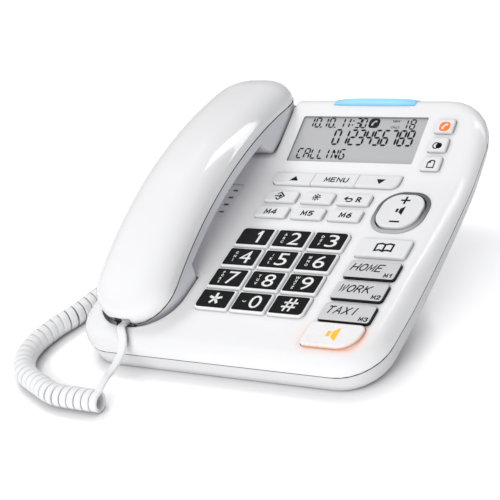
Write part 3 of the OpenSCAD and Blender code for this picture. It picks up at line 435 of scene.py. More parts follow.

# %% [markdown]
# Now the two runs can be swept: the first piece holds the lead and the first curls, and the second rides on
# the base.

# %% Sweep the two runs of the cord


def swept(name, points, faces):
    line = bare_object(name + "_line", points, [(i, i + 1) for i in range(len(points) - 1)])
    store = line.data.attributes.new("flat_side", "FLOAT_VECTOR", "POINT")
    for point, arrow in zip(store.data, faces):
        point.vector = arrow
    return made_by(sweep_wire, line, {"Wire width": flat_width * MM, "Wire thickness": flat_thick * MM,
                                      "Corner radius": 0.6 * MM, "Corner steps": 3,
                                      "Finish": cord_white}, name)


cord_first = swept("cord_lead_and_first_curls", first_run, first_faces)
cord_rest = swept("cord_curls_and_tail", second_run, second_faces)
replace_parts(cord_first, "cord_lead")
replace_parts(cord_rest, "cord_coil", "cord_tail")
print("cord triangles", sum(len(p.data.polygons) for p in (cord_first, cord_rest)) * 2)

# %% [markdown]
# ## Moulded pieces
# The frame's meshes are loose triangles. A copy of each visible housing is welded, its flat areas are
# joined, and its edges are marked sharp only where two faces really meet at an angle, so that the round
# forms shade smoothly and the seams stay crisp. The copy then stands for the frame's own piece.

# %% Welded copies of the frame's pieces
sharp_angle = 32


def mark_sharp(shape, angle):
    for face in shape.faces:
        face.smooth = True
    for edge in shape.edges:
        edge.smooth = len(edge.link_faces) == 2 and edge.calc_face_angle(0) < math.radians(angle)


def welded(node, flat=0.3):
    """Bmesh of a node with its triangles joined up and its sharp edges marked."""
    shape = bmesh.new()
    shape.from_mesh(nodes[node].data)
    bmesh.ops.remove_doubles(shape, verts=shape.verts, dist=2e-6)
    bmesh.ops.dissolve_degenerate(shape, dist=1e-7, edges=shape.edges)
    if flat:
        bmesh.ops.dissolve_limit(shape, angle_limit=math.radians(flat), verts=shape.verts, edges=shape.edges)
    mark_sharp(shape, sharp_angle)
    return shape


def mesh_from(shape, name):
    mesh = bpy.data.meshes.new(name)
    shape.to_mesh(mesh)
    shape.free()
    return mesh


trial = welded("base_tray")
print("base tray faces, loose and welded", len(nodes["base_tray"].data.polygons), len(trial.faces))
trial.free()

# %% [markdown]
# A finished piece gets its material, a bevel where its edges are to look soft, and shading that leans
# on its large faces, so that flat areas stay flat up to their edges. Then it is put on its body.

# %% Housings


def as_piece(shape, name, material, body, edge=0.0):
    """A finished piece from a bmesh, on its body; edge is the width of its soft edges in mm."""
    piece = in_scene(name, mesh_from(shape, name))
    piece.data.materials.append(material)
    if edge:
        bevel = piece.modifiers.new("soft edges", "BEVEL")
        bevel.width = edge * MM
        bevel.segments = 2
        bevel.limit_method = "ANGLE"
        bevel.angle_limit = math.radians(sharp_angle)
        bevel.use_clamp_overlap = True
    even = piece.modifiers.new("even shading", "WEIGHTED_NORMAL")
    even.keep_sharp = True
    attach(piece, body)
    return piece


def skin(node, material, edge=0.0):
    """A welded copy that stands for one node of the frame."""
    piece = as_piece(welded(node), node + "_skin", material, body_of[node], edge)
    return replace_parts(piece, node)


tray = skin("base_tray", lower_white)
door = skin("battery_door", lower_white)
crown_white, _, _ = plastic("white_crown_plastic", rgb(247, 247, 248), 0.16, 0.03, 700, coat=0.8,
                            coat_roughness=0.02)
upper_shell = skin("handset_upper_shell", crown_white)
plunger = skin("hook_plunger", white_shell, edge=0.3)
print("housings", [len(p.data.polygons) for p in (tray, door, upper_shell, plunger)])

# %% [markdown]
# Some finishes depend on where a point lies on a face, such as the black print on the digit keys or the
# glow round the hands-free key. One group for each face turns a piece's own coordinates into
# millimetres across, up and out of that face, and the finishes that need them read its outputs.

# %% Shared groups for places on the two faces


def face_group(name, face):
    group, _, end = shader_group(name, [], [("Across", "Float"), ("Up", "Float"), ("Out", "Float")])
    moved = add_node(group, "ShaderNodeVectorMath", {0: own_place(group), 1: face.translation},
                     operation="SUBTRACT")
    scaled = add_node(group, "ShaderNodeVectorMath", {0: moved.outputs[0], "Scale": 1 / MM},
                      operation="SCALE")
    for column, label in enumerate(("Across", "Up", "Out")):
        along = add_node(group, "ShaderNodeVectorMath",
                         {0: scaled.outputs[0], 1: face.to_3x3().col[column]}, operation="DOT_PRODUCT")
        feed(end.inputs[label], along.outputs["Value"])
    return group


on_keys = face_group("Place on the key face", key_face)
on_display = face_group("Place on the display face", display_face)
print("groups", len(bpy.data.node_groups))

# %% [markdown]
# With such a place, a finish can change its colour over a stretch of the face: from the rim of a key to
# its top, or from the foot of a ring to its head. A finish that a lamp shines through also glows.

# %% Helpers for graded and glowing finishes


def place_node(tree, group):
    return add_node(tree, "ShaderNodeGroup", node_tree=group)


def soft_step(tree, value, low, high):
    """0 below low, 1 above high, with a smooth change between them."""
    return add_node(tree, "ShaderNodeMapRange", {"Value": value, "From Min": low, "From Max": high},
                    interpolation_type="SMOOTHSTEP").outputs["Result"]


def mixed(tree, factor, a, b):
    """Colour a where factor is 0 and b where it is 1; each is a colour or a socket."""
    return add_node(tree, "ShaderNodeMix", {"Factor": factor, "A": a, "B": b},
                    data_type="RGBA").outputs["Result"]


def graded(finish, face, axis, low, high, first, last):
    """Grade a plastic's colour from first to last between two places along one axis of a face."""
    material, group, _ = finish
    tree = material.node_tree
    share = soft_step(tree, place_node(tree, face).outputs[axis], low, high)
    feed(group.inputs["Color"], mixed(tree, share, first, last))
    return material


def set_glow(surface, color, strength):
    """Let a finish shine; its strength is a number or another node's output."""
    feed(surface.inputs["Emission Color"], (*color, 1))
    feed(surface.inputs["Emission Strength"], strength)


print("graded finishes use", [g.name for g in bpy.data.node_groups if g.name.startswith("Place")])

# %% [markdown]
# The hands-free key is lit from below. Its light shows as a thin orange line in the gap round the key
# and as a soft halo on the housing near it. The halo is a mask: the distance from a rounded rectangle
# on the key face, faded out over a few millimetres. It tints the housing and adds a weak glow to it.

# %% Top cover with the halo round the hands-free key
lit_middle = (68.8, 18.6)
lit_size = (33.0, 16.2)
lit_corner = 6.5
halo_glow = 0.08
halo_tint = 0.6


def halo_group():
    group, _, end = shader_group("Halo round the lit key", [], [("Halo", "Float")])
    face = place_node(group, on_keys)
    squares = []
    for label, middle, size in zip(("Across", "Up"), lit_middle, lit_size):
        off = math_node(group, "ABSOLUTE", math_node(group, "SUBTRACT", face.outputs[label], middle))
        past = math_node(group, "MAXIMUM", math_node(group, "SUBTRACT", off, size / 2 - lit_corner), 0.0)
        squares.append(math_node(group, "POWER", past, 2.0))
    distance = math_node(group, "SQRT", math_node(group, "ADD", *squares))
    away = math_node(group, "SUBTRACT", distance, lit_corner)
    fade = math_node(group, "POWER", 2.718, math_node(group, "MULTIPLY", away, -0.55))
    near = soft_step(group, away, -1.5, 0.0)
    face_only = soft_step(group, face.outputs["Out"], -2.2, -0.2)
    fading = math_node(group, "MULTIPLY", fade, near)
    feed(end.inputs["Halo"], math_node(group, "MULTIPLY", fading, face_only))
    return group


cover_white = rgb(246, 246, 247)
cover_plastic, cover_group, cover_surface = plastic("white_cover_plastic", cover_white, 0.24, 0.05, 700,
                                                    coat=0.25)
cover_tree = cover_plastic.node_tree
halo = place_node(cover_tree, halo_group()).outputs["Halo"]
set_glow(cover_surface, (1.0, 0.34, 0.22), math_node(cover_tree, "MULTIPLY", halo, halo_glow))
tinted = math_node(cover_tree, "MULTIPLY", halo, halo_tint)
feed(cover_group.inputs["Color"], mixed(cover_tree, tinted, cover_white, rgb(255, 170, 130)))
cover = skin("top_cover", cover_plastic)
print("top cover faces", len(cover.data.polygons))

# %% [markdown]
# The handset's two halves meet at a fine seam. The lower half has a slightly softer gloss, and its white is
# painted a little greyer and cooler than the upper half's: painted shade for the lower half, which gets less
# light.

# %% Lower half of the handset
# Painted shade: the lower half's white is greyer and cooler than the upper half's.
grip_white_painted_shade, _, _ = plastic("white_grip_plastic_painted_shade", rgb(226, 226, 233), 0.3, 0.08, 1000, coat=0.15)
lower_shell = skin("handset_lower_shell", grip_white_painted_shade)
print("lower half faces", len(lower_shell.data.polygons))

# %% [markdown]
# The gaps between cover and tray and between the handset's halves show as fine dark lines, because little
# light comes out of them. A narrow near-black strip of painted shade stands a little inside each gap: it
# closes the view into the housing and stands for the shadow there. Its loop follows the housing's outline.
# Each outline is made of quarter arcs and straight or gently curved sides, and one half is mirrored.

# %% Outlines of the two seams
base_length = 193
front_corner = 25
rear_corner = 30
handset_x = -62
handset_arch = 245
arch_top = (63.38, 72)


def arc(radius, start, end, steps, cx=0.0, cy=0.0, squash=1.0):
    """Points on an arc between two angles in degrees; squash flattens it."""
    angles = [math.radians(start + (end - start) * k / steps) for k in range(steps + 1)]
    return [(cx + radius * math.cos(a), cy + squash * radius * math.sin(a)) for a in angles]


def quarter(cx, cy, radius, start):
    return arc(radius, start, start + 90, 14, cx, cy)


def mirrored_loop(half):
    return half + [(-x, y) for x, y in reversed(half)]


def seam_height(y):
    """How high the base's seam runs over the key face, y mm up that face."""
    # The root rounds the fold over about 6 mm, as the housing does.
    past_fold = (y - fold_line) + math.sqrt((y - fold_line) ** 2 + 6 ** 2)
    return -9.6 + 0.55 * (math.tan(display_fold) * past_fold / 2) + 0.05 * max(0, y - 50)


def side_at(y, inset):
    """Half the width of the base: 98 mm at its widest, drawn in 5 mm towards the ends."""
    return 98 - 5 * ((y - 60) / 133) ** 2 - inset


def base_loop(inset):
    rear_y = base_length - rear_corner
    front_x = side_at(front_corner, 0) - front_corner
    rear_x = side_at(rear_y, 0) - rear_corner
    side = [(side_at(y, inset), y) for y in (48, 66, 84, 102, 116, 126, 132, 135, 138, 141, 144, 150, 157)]
    return mirrored_loop(quarter(front_x, front_corner, front_corner - inset, -90) + side
                         + quarter(rear_x, rear_y, rear_corner - inset, 0))


def handset_loop(inset):
    ends = [(x, -y) for x, y in quarter(2, -135, 24 - inset, -90)]
    ear = [(x, -y) for x, y in quarter(3, 10, 23 - inset, 0)]
    return mirrored_loop(ends + [(26 - inset, s) for s in range(131, -9, -7)] + ear)


print("points on the seams", len(base_loop(0)), len(handset_loop(0)))

# %% [markdown]
# A shade strip is a closed band through four equal loops, so its section has four corners. On the base the
# loops are given in the axes of the key face, and on the handset they follow its arch.

# %% Dark strips of painted shade in the seams
# Painted shade: a near-black strip inside each seam stands for the shadow in the gap.
seam_shade_plastic, _, _ = plastic("seam_painted_shade", rgb(34, 34, 37), 0.6, 0.1, 1200, specular=0.1)


def shade_strip(name, loops, body):
    """A closed band through four equal loops of points: outer low, outer high, inner high, inner low."""
    count = len(loops[0])
    piece = bare_object(name, [p for loop in loops for p in loop],
                        faces=[(k * count + i, k * count + (i + 1) % count,
                                (k + 1) % 4 * count + (i + 1) % count, (k + 1) % 4 * count + i)
                               for k in range(4) for i in range(count)])
    piece.data.materials.append(seam_shade_plastic)
    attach(piece, body)
    return piece


def base_shade_loop(inset, rise):
    return [on_face(key_face, x, y, seam_height(y) + rise) for x, y in base_loop(inset)]


def handset_shade_loop(inset, rise):
    """A loop on the handset's arch; s runs along the arch, in mm."""
    reach = handset_arch + rise
    return [Vector((x + handset_x, arch_top[0] - reach * math.sin(s / handset_arch),
                    arch_top[1] - handset_arch + reach * math.cos(s / handset_arch))) * MM
            for x, s in handset_loop(inset)]


shade_strips = [shade_strip("base_seam_painted_shade", [base_shade_loop(0.22, -0.75), base_shade_loop(0.22, 0.0), base_shade_loop(0.6, 0.0),
                              base_shade_loop(0.6, -0.75)], "base"),
        shade_strip("handset_seam_painted_shade", [handset_shade_loop(-0.04, -0.3), handset_shade_loop(-0.04, 0.3), handset_shade_loop(0.5, 0.1),
                                 handset_shade_loop(0.5, -0.1)], "handset")]
print("seam painted shade strips", [piece.name for piece in shade_strips])

# %% [markdown]
# ## Keys
# A key in the frame has a small square step round its top. On the real key that is a soft rounded
# edge, so the step's inner corner is lifted to the top first, which leaves a slope, and a narrow bevel
# then rounds it. Every key and the rocker are made with this one helper.

# %% Key caps with soft edges


def softened(node, face, low, high):
    """Bmesh of a key whose square step between the heights low and high becomes a slope."""
    shape = welded(node, flat=0)
    back = face.inverted()
    place = {v: back @ v.co / MM for v in shape.verts}
    tops = [p for p in place.values() if abs(p.z - high) < 0.02]
    for vert, p in place.items():
        if abs(p.z - low) < 0.02 and any(abs(p.x - t.x) < 0.03 and abs(p.y - t.y) < 0.03 for t in tops):
            vert.co = face @ (Vector((p.x, p.y, high)) * MM)
    bmesh.ops.remove_doubles(shape, verts=shape.verts, dist=2e-6)
    bmesh.ops.dissolve_degenerate(shape, dist=1e-6, edges=shape.edges)
    bmesh.ops.dissolve_limit(shape, angle_limit=math.radians(0.3), verts=shape.verts, edges=shape.edges)
    mark_sharp(shape, 30)
    return shape


def key_skin(node, material, face=key_face, low=1.5, high=2.0, edge=0.3):
    piece = as_piece(softened(node, face, low, high), node + "_cap", material, node, edge=edge)
    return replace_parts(piece, node)


white_key, _, _ = plastic("white_key_plastic", rgb(238, 238, 240), 0.3, 0.08, 1100, coat=0.1,
                          crevice_shade=0.35)
function_keys = ["key_log", "key_brightness", "key_recall", "key_m4", "key_m5", "key_m6", "key_phonebook",
                 "key_up", "key_menu", "key_down"]
for name in function_keys:
    key_skin(name, white_key)
for name in ("key_call_block", "key_contrast", "key_page"):
    key_skin(name, white_key, face=display_face)
print("white keys", len(function_keys) + 3)

# %% [markdown]
# A digit key is white with a black printed face inside a white rim. Real ones are moulded in two shots.
# Here one material does it: the face stands a little higher than the rim, so the height over the key
# face tells black from white, whichever key it is.

# %% Digit keys in two colours
digit_white = rgb(246, 246, 248)
digit_plastic = graded(plastic("two_colour_key_plastic", digit_white, 0.32, 0.1, 1200, specular=0.2,
                               crevice_shade=0.2),
                       on_keys, "Out", 1.70, 1.76, digit_white, rgb(12, 12, 14))
digit_keys = ["key_1", "key_2", "key_3", "key_4", "key_5", "key_6", "key_7", "key_8", "key_9",
              "key_star", "key_0", "key_hash"]
for name in digit_keys:
    key_skin(name, digit_plastic, low=1.2, high=1.7, edge=0.18)
print("digit keys", len(digit_keys))

# %% [markdown]
# A memory key holds a paper label under a clear cap. Its colour is dark at its sides and pale on top, graded
# by its height over the key face.

# %% Memory keys, dark at the sides and pale on top
memory_plastic = graded(plastic("memory_key_plastic", rgb(215, 216, 220), 0.25, 0.03, 900, specular=0.3),
                        on_keys, "Out", 1.62, 1.8, rgb(16, 16, 18), rgb(212, 212, 215))
memory_keys = ["key_m1", "key_m2", "key_m3"]
for name in memory_keys:
    key_skin(name, memory_plastic, edge=0.25)
print("memory keys", len(memory_keys))

# %% [markdown]
# The hands-free key is a milky white cap. The lamp below it shows through its thin sides, so they
# glow orange, while its thick top stays white.

# %% Hands-free key with glowing sides
milky_white = rgb(246, 245, 246)
lit_plastic, lit_group, lit_surface = plastic("milky_key_plastic", milky_white, 0.28, 0.05, 1000, coat=0.2)
lit_tree = lit_plastic.node_tree
lit_top = soft_step(lit_tree, place_node(lit_tree, on_keys).outputs["Out"], 0.2, 1.7)
lit_side = math_node(lit_tree, "SUBTRACT", 1.0, lit_top)
set_glow(lit_surface, (1.0, 0.36, 0.18), math_node(lit_tree, "MULTIPLY", lit_side, 0.2))
feed(lit_group.inputs["Color"], mixed(lit_tree, lit_side, milky_white, rgb(255, 206, 170)))
lit_cap = key_skin("key_handsfree", lit_plastic, edge=0.35)
print("hands-free key faces", len(lit_cap.data.polygons))

# %% [markdown]
# The volume key is a large rocker in a grey ring, like a cushion in a frame. The ring's colour is painted
# light grey at its foot and dark grey at its top: painted light and shade for a rim that faces the light at
# its foot and turns from it at its top. The rocker rocks, so its print has to ride on it.

# %% Volume rocker and its ring
# Painted light and shade: the ring is light grey at its foot and dark grey at its top.
ring_grey_painted_shade = graded(plastic("ring_plastic_painted_light_and_shade", rgb(128, 128, 131), 0.3, 0.05, 900, coat=0.2),
                   on_keys, "Up", 90.0, 118.0, rgb(196, 196, 198), rgb(98, 98, 101))
ring = skin("volume_ring", ring_grey_painted_shade, edge=0.25)
rocker_cap = key_skin("volume_rocker", white_key, edge=0.4)
print("rocker and ring faces", [len(p.data.polygons) for p in (rocker_cap, ring)])

# %% [markdown]
# ## Display
# The display is bonded to the back of a clear window, with a grey reflective panel behind it. The
# window is a thin clear sheet, so a low alpha shows the display through it and keeps a clean
# reflection on top.

# %% Display panel and window
# Painted shade: the panel's grey is a little darker towards its lower edge.
panel_grey_painted_shade = graded(plastic("display_panel_painted_shade", rgb(187, 187, 188), 0.5, 0.02, 2500, crevice_shade=0.0),
                    on_display, "Up", 8.0, 14.0, rgb(186, 186, 188), rgb(192, 192, 193))
panel = skin("lcd_panel", panel_grey_painted_shade)


def clear_plastic(name, color, alpha, patch_scale, patch_detail, roughest):
    """A clear plastic, see-through by its alpha, with patches in its gloss where it was handled."""
    material, tree, surface = new_finish(name)
    surface.inputs["Base Color"].default_value = color
    surface.inputs["Alpha"].default_value = alpha
    patches = noise(tree, own_place(tree), patch_scale, patch_detail)
    feed(surface.inputs["Roughness"], math_node(tree, "MULTIPLY", patches, roughest))
    return material


clear_window = clear_plastic("clear_window", (0.75, 0.78, 0.8, 1), 0.03, 40.0, 3.0, 0.12)
window = skin("display_window", clear_window, edge=0.2)
print("display pieces", [p.name for p in (panel, window)])

# %% [markdown]
# The ringer's light bar lies along the rear edge. It is a blue moulded bar, brightest over its lamp in
# the middle, with a soft crown. The frame's bar is flat on top, so it is cut into slices across, and
# the upper points are lifted along a smooth curve.

# %% Light bar on the rear edge
bar_centre = 18
bar_crown = 1.7
bar_reach = 29
bar_slices = 16
bar_glow, _, bar_surface = plastic("blue_light_bar", rgb(138, 202, 242), 0.25, 0.03, 700, coat=0.2)
bar_tree = bar_glow.node_tree
bar_across = place_node(bar_tree, on_keys).outputs["Across"]
off_centre = math_node(bar_tree, "ABSOLUTE", math_node(bar_tree, "SUBTRACT", bar_across, bar_centre))
near_lamp = math_node(bar_tree, "SUBTRACT", 1.0, soft_step(bar_tree, off_centre, 14.0, 30.0))
set_glow(bar_surface, (0.30, 0.66, 1.0), math_node(bar_tree, "MULTIPLY_ADD", near_lamp, 0.2, 0.2))
bar_shape = welded("ringer_light")
bar_low, bar_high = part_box("ringer_light")
for k in range(1, bar_slices):
    bmesh.ops.bisect_plane(bar_shape, geom=bar_shape.verts[:] + bar_shape.edges[:] + bar_shape.faces[:],
                           plane_co=bar_low.lerp(bar_high, k / bar_slices), plane_no=(1, 0, 0))
for vert in bar_shape.verts:
    if vert.co.z > (bar_low.z + bar_high.z) / 2:
        vert.co.z += bar_crown * MM * max(0, 1 - ((vert.co.x / MM - bar_centre) / bar_reach) ** 4)
light_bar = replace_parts(as_piece(bar_shape, "ringer_light_skin", bar_glow, "base"), "ringer_light")
print("light bar points", len(light_bar.data.vertices))

# %% [markdown]
# The grey film that carries the characters is a rounded plate just inside the window. It is a single
# face, because nothing but its front is ever seen.

# %% Film behind the window
film_size = (82.4, 31.2)
film_middle = (14.9, 24.9)
film_depth = -1.3
corner_steps = 5


def rounded(w, h, r):
    """Outline of a rounded rectangle about its middle."""
    return [(sx * (w / 2 - r) + r * math.cos(a), sy * (h / 2 - r) + r * math.sin(a))
            for sx, sy, first in ((1, 1, 0), (-1, 1, 90), (-1, -1, 180), (1, -1, 270))
            for a in (math.radians(first + 90 * k / corner_steps) for k in range(corner_steps + 1))]


film_edge = [on_face(display_face, u + film_middle[0], v + film_middle[1], film_depth)
             for u, v in rounded(*film_size, 1.2)]
film = bare_object("display_film", film_edge, faces=[tuple(range(len(film_edge)))])
film.data.materials.append(panel_grey_painted_shade)
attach(film, "base")
print("film corners", len(film_edge))

# %% [markdown]
# The characters on the panel are short bars in fixed places, seven for a digit and more for a letter.
# A node tree puts one small bar on every point, with the turn, the length and the width that the point
# carries, so the whole display is one list of points.

# %% Node tree that lays a bar on every point


def bars_tree():
    tree = bpy.data.node_groups.new("Bars on points", "GeometryNodeTree")
    add_sockets(tree, "INPUT", (("Points", "Geometry"), ("Bar width", "Float"), ("Bar height", "Float"),
                                ("Finish", "Material")))
    add_sockets(tree, "OUTPUT", (("Bars", "Geometry"),))
    start, end = add_node(tree, "NodeGroupInput"), add_node(tree, "NodeGroupOutput")
    bar = add_node(tree, "GeometryNodeMeshCylinder", {"Vertices": 6, "Radius": 0.5, "Depth": 1.0})
    turn, length, width = (
        add_node(tree, "GeometryNodeInputNamedAttribute", {"Name": label}, data_type="FLOAT")
        for label in ("turn", "length", "width"))
    turned = add_node(tree, "ShaderNodeCombineXYZ")
    scaled = add_node(tree, "ShaderNodeCombineXYZ")
    across = add_node(tree, "ShaderNodeMath", operation="MULTIPLY")
    put = add_node(tree, "GeometryNodeInstanceOnPoints")
    real = add_node(tree, "GeometryNodeRealizeInstances")
    paint = add_node(tree, "GeometryNodeSetMaterial")
    join(tree, (turn, "Attribute", turned, "Z"), (length, "Attribute", scaled, "X"),
         (width, "Attribute", across, 0), (start, "Bar width", across, 1), (across, 0, scaled, "Y"),
         (start, "Bar height", scaled, "Z"), (start, "Points", put, "Points"),
         (bar, "Mesh", put, "Instance"), (turned, 0, put, "Rotation"), (scaled, 0, put, "Scale"),
         (put, "Instances", real, "Geometry"), (real, "Geometry", paint, "Geometry"),
         (start, "Finish", paint, "Material"), (paint, "Geometry", end, "Bars"))
    return tree


bars_on_points = bars_tree()
print("nodes in the tree of the bars", len(bars_on_points.nodes))

# %% [markdown]
# Each character cell is one unit wide and two high. A character is a word of bar letters, and every bar
# runs between two corners of the cell.

# %% Bars of each character
corner = {"a": ((0, 2), (1, 2)), "b": ((1, 1), (1, 2)), "c": ((1, 0), (1, 1)), "d": ((0, 0), (1, 0)),
          "e": ((0, 0), (0, 1)), "f": ((0, 1), (0, 2)), "g": ((0, 1), (1, 1)), "h": ((0, 2), (0.5, 1)),
          "k": ((0.5, 1), (1, 0)), "i": ((0.5, 1), (0.5, 2)), "l": ((0.5, 0), (0.5, 1)),
          "p": ((0.5, 1), (1, 1)), ".": ((1.42, 0), (1.5, 0)), ":": ((0.5, 0.5), (0.5, 0.62)),
          ";": ((0.5, 1.4), (0.5, 1.52))}
cells = {"0": "abcdef", "1": "bc", "2": "abged", "3": "abgcd", "4": "fgbc", "5": "afgcd", "6": "afgedc",
         "7": "abc", "8": "abcdefg", "9": "gfabcd", "C": "afed", "A": "efabcg", "L": "fed", "I": "il",
         "N": "efhkcb", "G": "afedcp", ":": ":;", " ": ""}


def lcd_text(text, x, y, width, height, pitch, thick):
    """Bars of a line of text from x, y on, in mm on the display face: middle, turn, length and width."""
    bars, at = [], x
    for letter in text:
        # A dot belongs to the cell of the character before it, so it takes no cell of its own.
        names, left = (".", at - pitch) if letter == "." else (cells[letter], at)
        for (x0, y0), (x1, y1) in (corner[name] for name in names):
            a = Vector((left + x0 * width, y + y0 * height / 2))
            b = Vector((left + x1 * width, y + y1 * height / 2))
            run = b - a
            bars.append(((a + b) / 2, math.atan2(run.y, run.x), max(thick, run.length * 0.97), thick))
        if letter != ".":
            at += pitch
    return bars


lcd_lines = (("10.10.", -21.8, 34.0, 3.0, 6.3, 4.7, 1.15), ("11:30", -0.8, 34.0, 2.9, 6.3, 3.7, 1.15),
             ("18", 41.0, 33.6, 2.9, 6.2, 5.0, 1.05), ("0123456789", -1.0, 22.2, 3.7, 10.0, 5.35, 1.5),
             ("CALLING", -21.3, 12.2, 3.2, 6.4, 4.75, 1.15))
lcd_bars = [bar for line in lcd_lines for bar in lcd_text(*line)]
print("display bars", len(lcd_bars))

# %% [markdown]
# The list of bars becomes a cloud of points that carry a turn, a length and a width each. The node tree
# turns it into one flat piece, which is then laid just in front of the film.

# %% Characters on the display
lcd_black, _, _ = plastic("display_ink", rgb(8, 8, 9), 0.4, 0.02, 2500, specular=0.1, crevice_shade=0.0)
dots = bare_object("lcd_points", [(*middle, 0) for middle, _, _, _ in lcd_bars])
for column, label in ((1, "turn"), (2, "length"), (3, "width")):
    store = dots.data.attributes.new(label, "FLOAT", "POINT")
    for point, bar in zip(store.data, lcd_bars):
        point.value = bar[column]
lcd_marks = made_by(bars_on_points, dots, {"Bar width": 1.0, "Bar height": 0.05, "Finish": lcd_black},
                    "display_characters")
lcd_marks.data.transform(display_face @ Matrix.Scale(MM, 4) @ Matrix.Translation((0, 0, -1.25)))
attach(lcd_marks, "base")
print("character faces", len(lcd_marks.data.polygons))

# %% [markdown]
# ## Print
# The marks on the keys are pad printed: flat ink a few hundredths of a millimetre thick. Two signs have
# a lamp behind them, so their ink glows.

# %% Inks
ink_thick = 0.05


def ink(name, color):
    return plastic(name, color, 0.5, 0.15, 2500, specular=0.2, crevice_shade=0.0)[0]


def lit_ink(name, color, strength):
    material, _, surface = plastic(name, (*color, 1), 0.4, 0.05, 2000, crevice_shade=0.0)
    set_glow(surface, color, strength)
    return material


ink_dark = ink("dark_ink", rgb(12, 12, 13))
ink_white = ink("white_ink", rgb(240, 240, 240))
ink_pen = ink("pen_ink", rgb(16, 16, 18))
lit_yellow = lit_ink("yellow_lit_mark", (1.0, 0.46, 0.01), 0.3)
lit_orange = lit_ink("orange_lit_mark", (1.0, 0.17, 0.02), 0.35)
print("ink", ink_thick, "mm thick")

# %% [markdown]
# Large figures come from a text object, which becomes a mesh, is fitted to the height that the mark has
# on the real key, and only then is placed, so the mark's place is in its own mesh.

# %% Marks from a text object


def laid(mesh, name, material, body):
    """A print from its mesh, riding on its body."""
    mesh.materials.clear()
    mesh.materials.append(material or ink_dark)
    piece = in_scene(name, mesh)
    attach(piece, body)
    return piece


def fit(mesh, height, width):
    """Centre a flat mesh and give it a height in mm, and a width where one is named."""
    low = [min(v.co[i] for v in mesh.vertices) for i in range(3)]
    high = [max(v.co[i] for v in mesh.vertices) for i in range(3)]
    middle = Vector([(a + b) / 2 for a, b in zip(low, high)])
    sy = height / (high[1] - low[1])
    sx = width / (high[0] - low[0]) if width else sy
    sz = ink_thick / (high[2] - low[2])
    for v in mesh.vertices:
        p = v.co - middle
        v.co = Vector((p.x * sx, p.y * sy, p.z * sz))


def words(name, text, x, y, height, body, face=key_face, z=2.0, material=None, bold=0.0,
          width=None):
    """A text as flat ink, centred on x and y of a face."""
    letters = bpy.data.curves.new(name, "FONT")
    letters.body = text
    letters.extrude = 0.1
    letters.offset = bold
    letters.resolution_u = 3
    mesh = mesh_of(in_scene(name + "_source", letters), name)
    fit(mesh, height, width)
    mesh.transform(face @ Matrix.Scale(MM, 4) @ Matrix.Translation((x, y, z)))
    return laid(mesh, name, material, body)


print("ink colours", [m.name for m in (ink_dark, ink_white, ink_pen)])

# %% [markdown]
# Signs and small capitals are drawn as pen lines: each line is a row of thin rectangles with mitred
# corners, which keeps one even width at any size.

# %% Edges of a pen line


def pen_edges(points, closed, pen):
    """The two edges of a pen line, mitred at its corners."""
    count = len(points)
    runs = [(Vector(points[(i + 1) % count]) - Vector(points[i])).normalized()
            for i in range(count if closed else count - 1)]
    edges = []
    for i, p in enumerate(points):
        before = runs[i - 1] if closed or i else runs[0]
        after = runs[i] if i < len(runs) else runs[-1]
        across = Vector((-before.y - after.y, before.x + after.x))
        across = across.normalized() if across.length > 0.01 else Vector((-before.y, before.x))
        reach = pen / 2 / max(0.45, across.dot(Vector((-before.y, before.x))))
        # An open line runs on a little past its two ends, as ink does.
        past = Vector((0, 0))
        if not closed and i == 0:
            past = 0.3 * pen * (Vector(points[0]) - Vector(points[1])).normalized()
        elif not closed and i == count - 1:
            past = 0.3 * pen * runs[-1]
        edges.append((Vector(p) + past + across * reach, Vector(p) + past - across * reach))
    return edges


trial = pen_edges([(0, 0), (2, 0)], False, 1.0)
print("a 2 mm line with a 1 mm pen comes out", round((trial[1][0] - trial[0][0]).length, 2), "mm long")

# %% [markdown]
# Between the two edges each line becomes a thin plate, face by face, with a cap at both ends of an
# open line. All the lines of a sign make one piece.

# %% Signs from pen lines


def ink_piece(shape, name, material, body):
    """A print from a bmesh of thin plates."""
    bmesh.ops.recalc_face_normals(shape, faces=shape.faces)
    return laid(mesh_from(shape, name), name, material, body)


def strokes(name, lines, pen, x, y, body, face=key_face, z=2.0, material=None, slot="key"):
    """Open or closed lines in mm drawn with a broad pen; each line is (points, closed)."""
    shape = bmesh.new()
    up, down = z + ink_thick / 2, z - ink_thick / 2
    for points, closed in lines:
        rows = [[shape.verts.new(on_face(face, q.x + x, q.y + y, h))
                 for q, h in ((left, up), (right, up), (right, down), (left, down))]
                for left, right in pen_edges(points, closed, pen)]
        for i in range(len(rows) if closed else len(rows) - 1):
            a, b = rows[i], rows[(i + 1) % len(rows)]
            for k in range(4):
                shape.faces.new((a[k], a[(k + 1) % 4], b[(k + 1) % 4], b[k]))
        if not closed:
            shape.faces.new(rows[0][::-1])
            shape.faces.new(rows[-1])
    return ink_piece(shape, name, material, body)


def pen_line(*points):
    return points, False


print("plates are", ink_thick, "mm thick, so a sign stands", ink_thick / 2, "mm proud of its key")

# %% [markdown]
# Filled signs, such as an arrow head or a loudspeaker, are thin plates with a given outline.

# %% Signs from filled outlines


def patch(name, outlines, x, y, body, face=key_face, z=2.0, material=None):
    """Filled outlines in mm, as thin plates of ink."""
    shape = bmesh.new()
    for outline in outlines:
        low, high = [[shape.verts.new(on_face(face, u + x, v + y, z + h)) for u, v in outline]
                     for h in (-ink_thick / 2, ink_thick / 2)]
        shape.faces.new(high)
        shape.faces.new(low[::-1])
        for i in range(len(outline)):
            j = (i + 1) % len(outline)
            shape.faces.new((low[i], low[j], high[j], high[i]))
    return ink_piece(shape, name, material, body)


def resized(outline, size):
    return [(u * size, v * size) for u, v in outline]


print("a 6 mm rounded patch has", len(rounded(6, 6, 2)), "corners")

# %% [markdown]
# Capitals in pen lines look like the thin, even letters of small key legends, which a text object with
# its fuller letters would not.

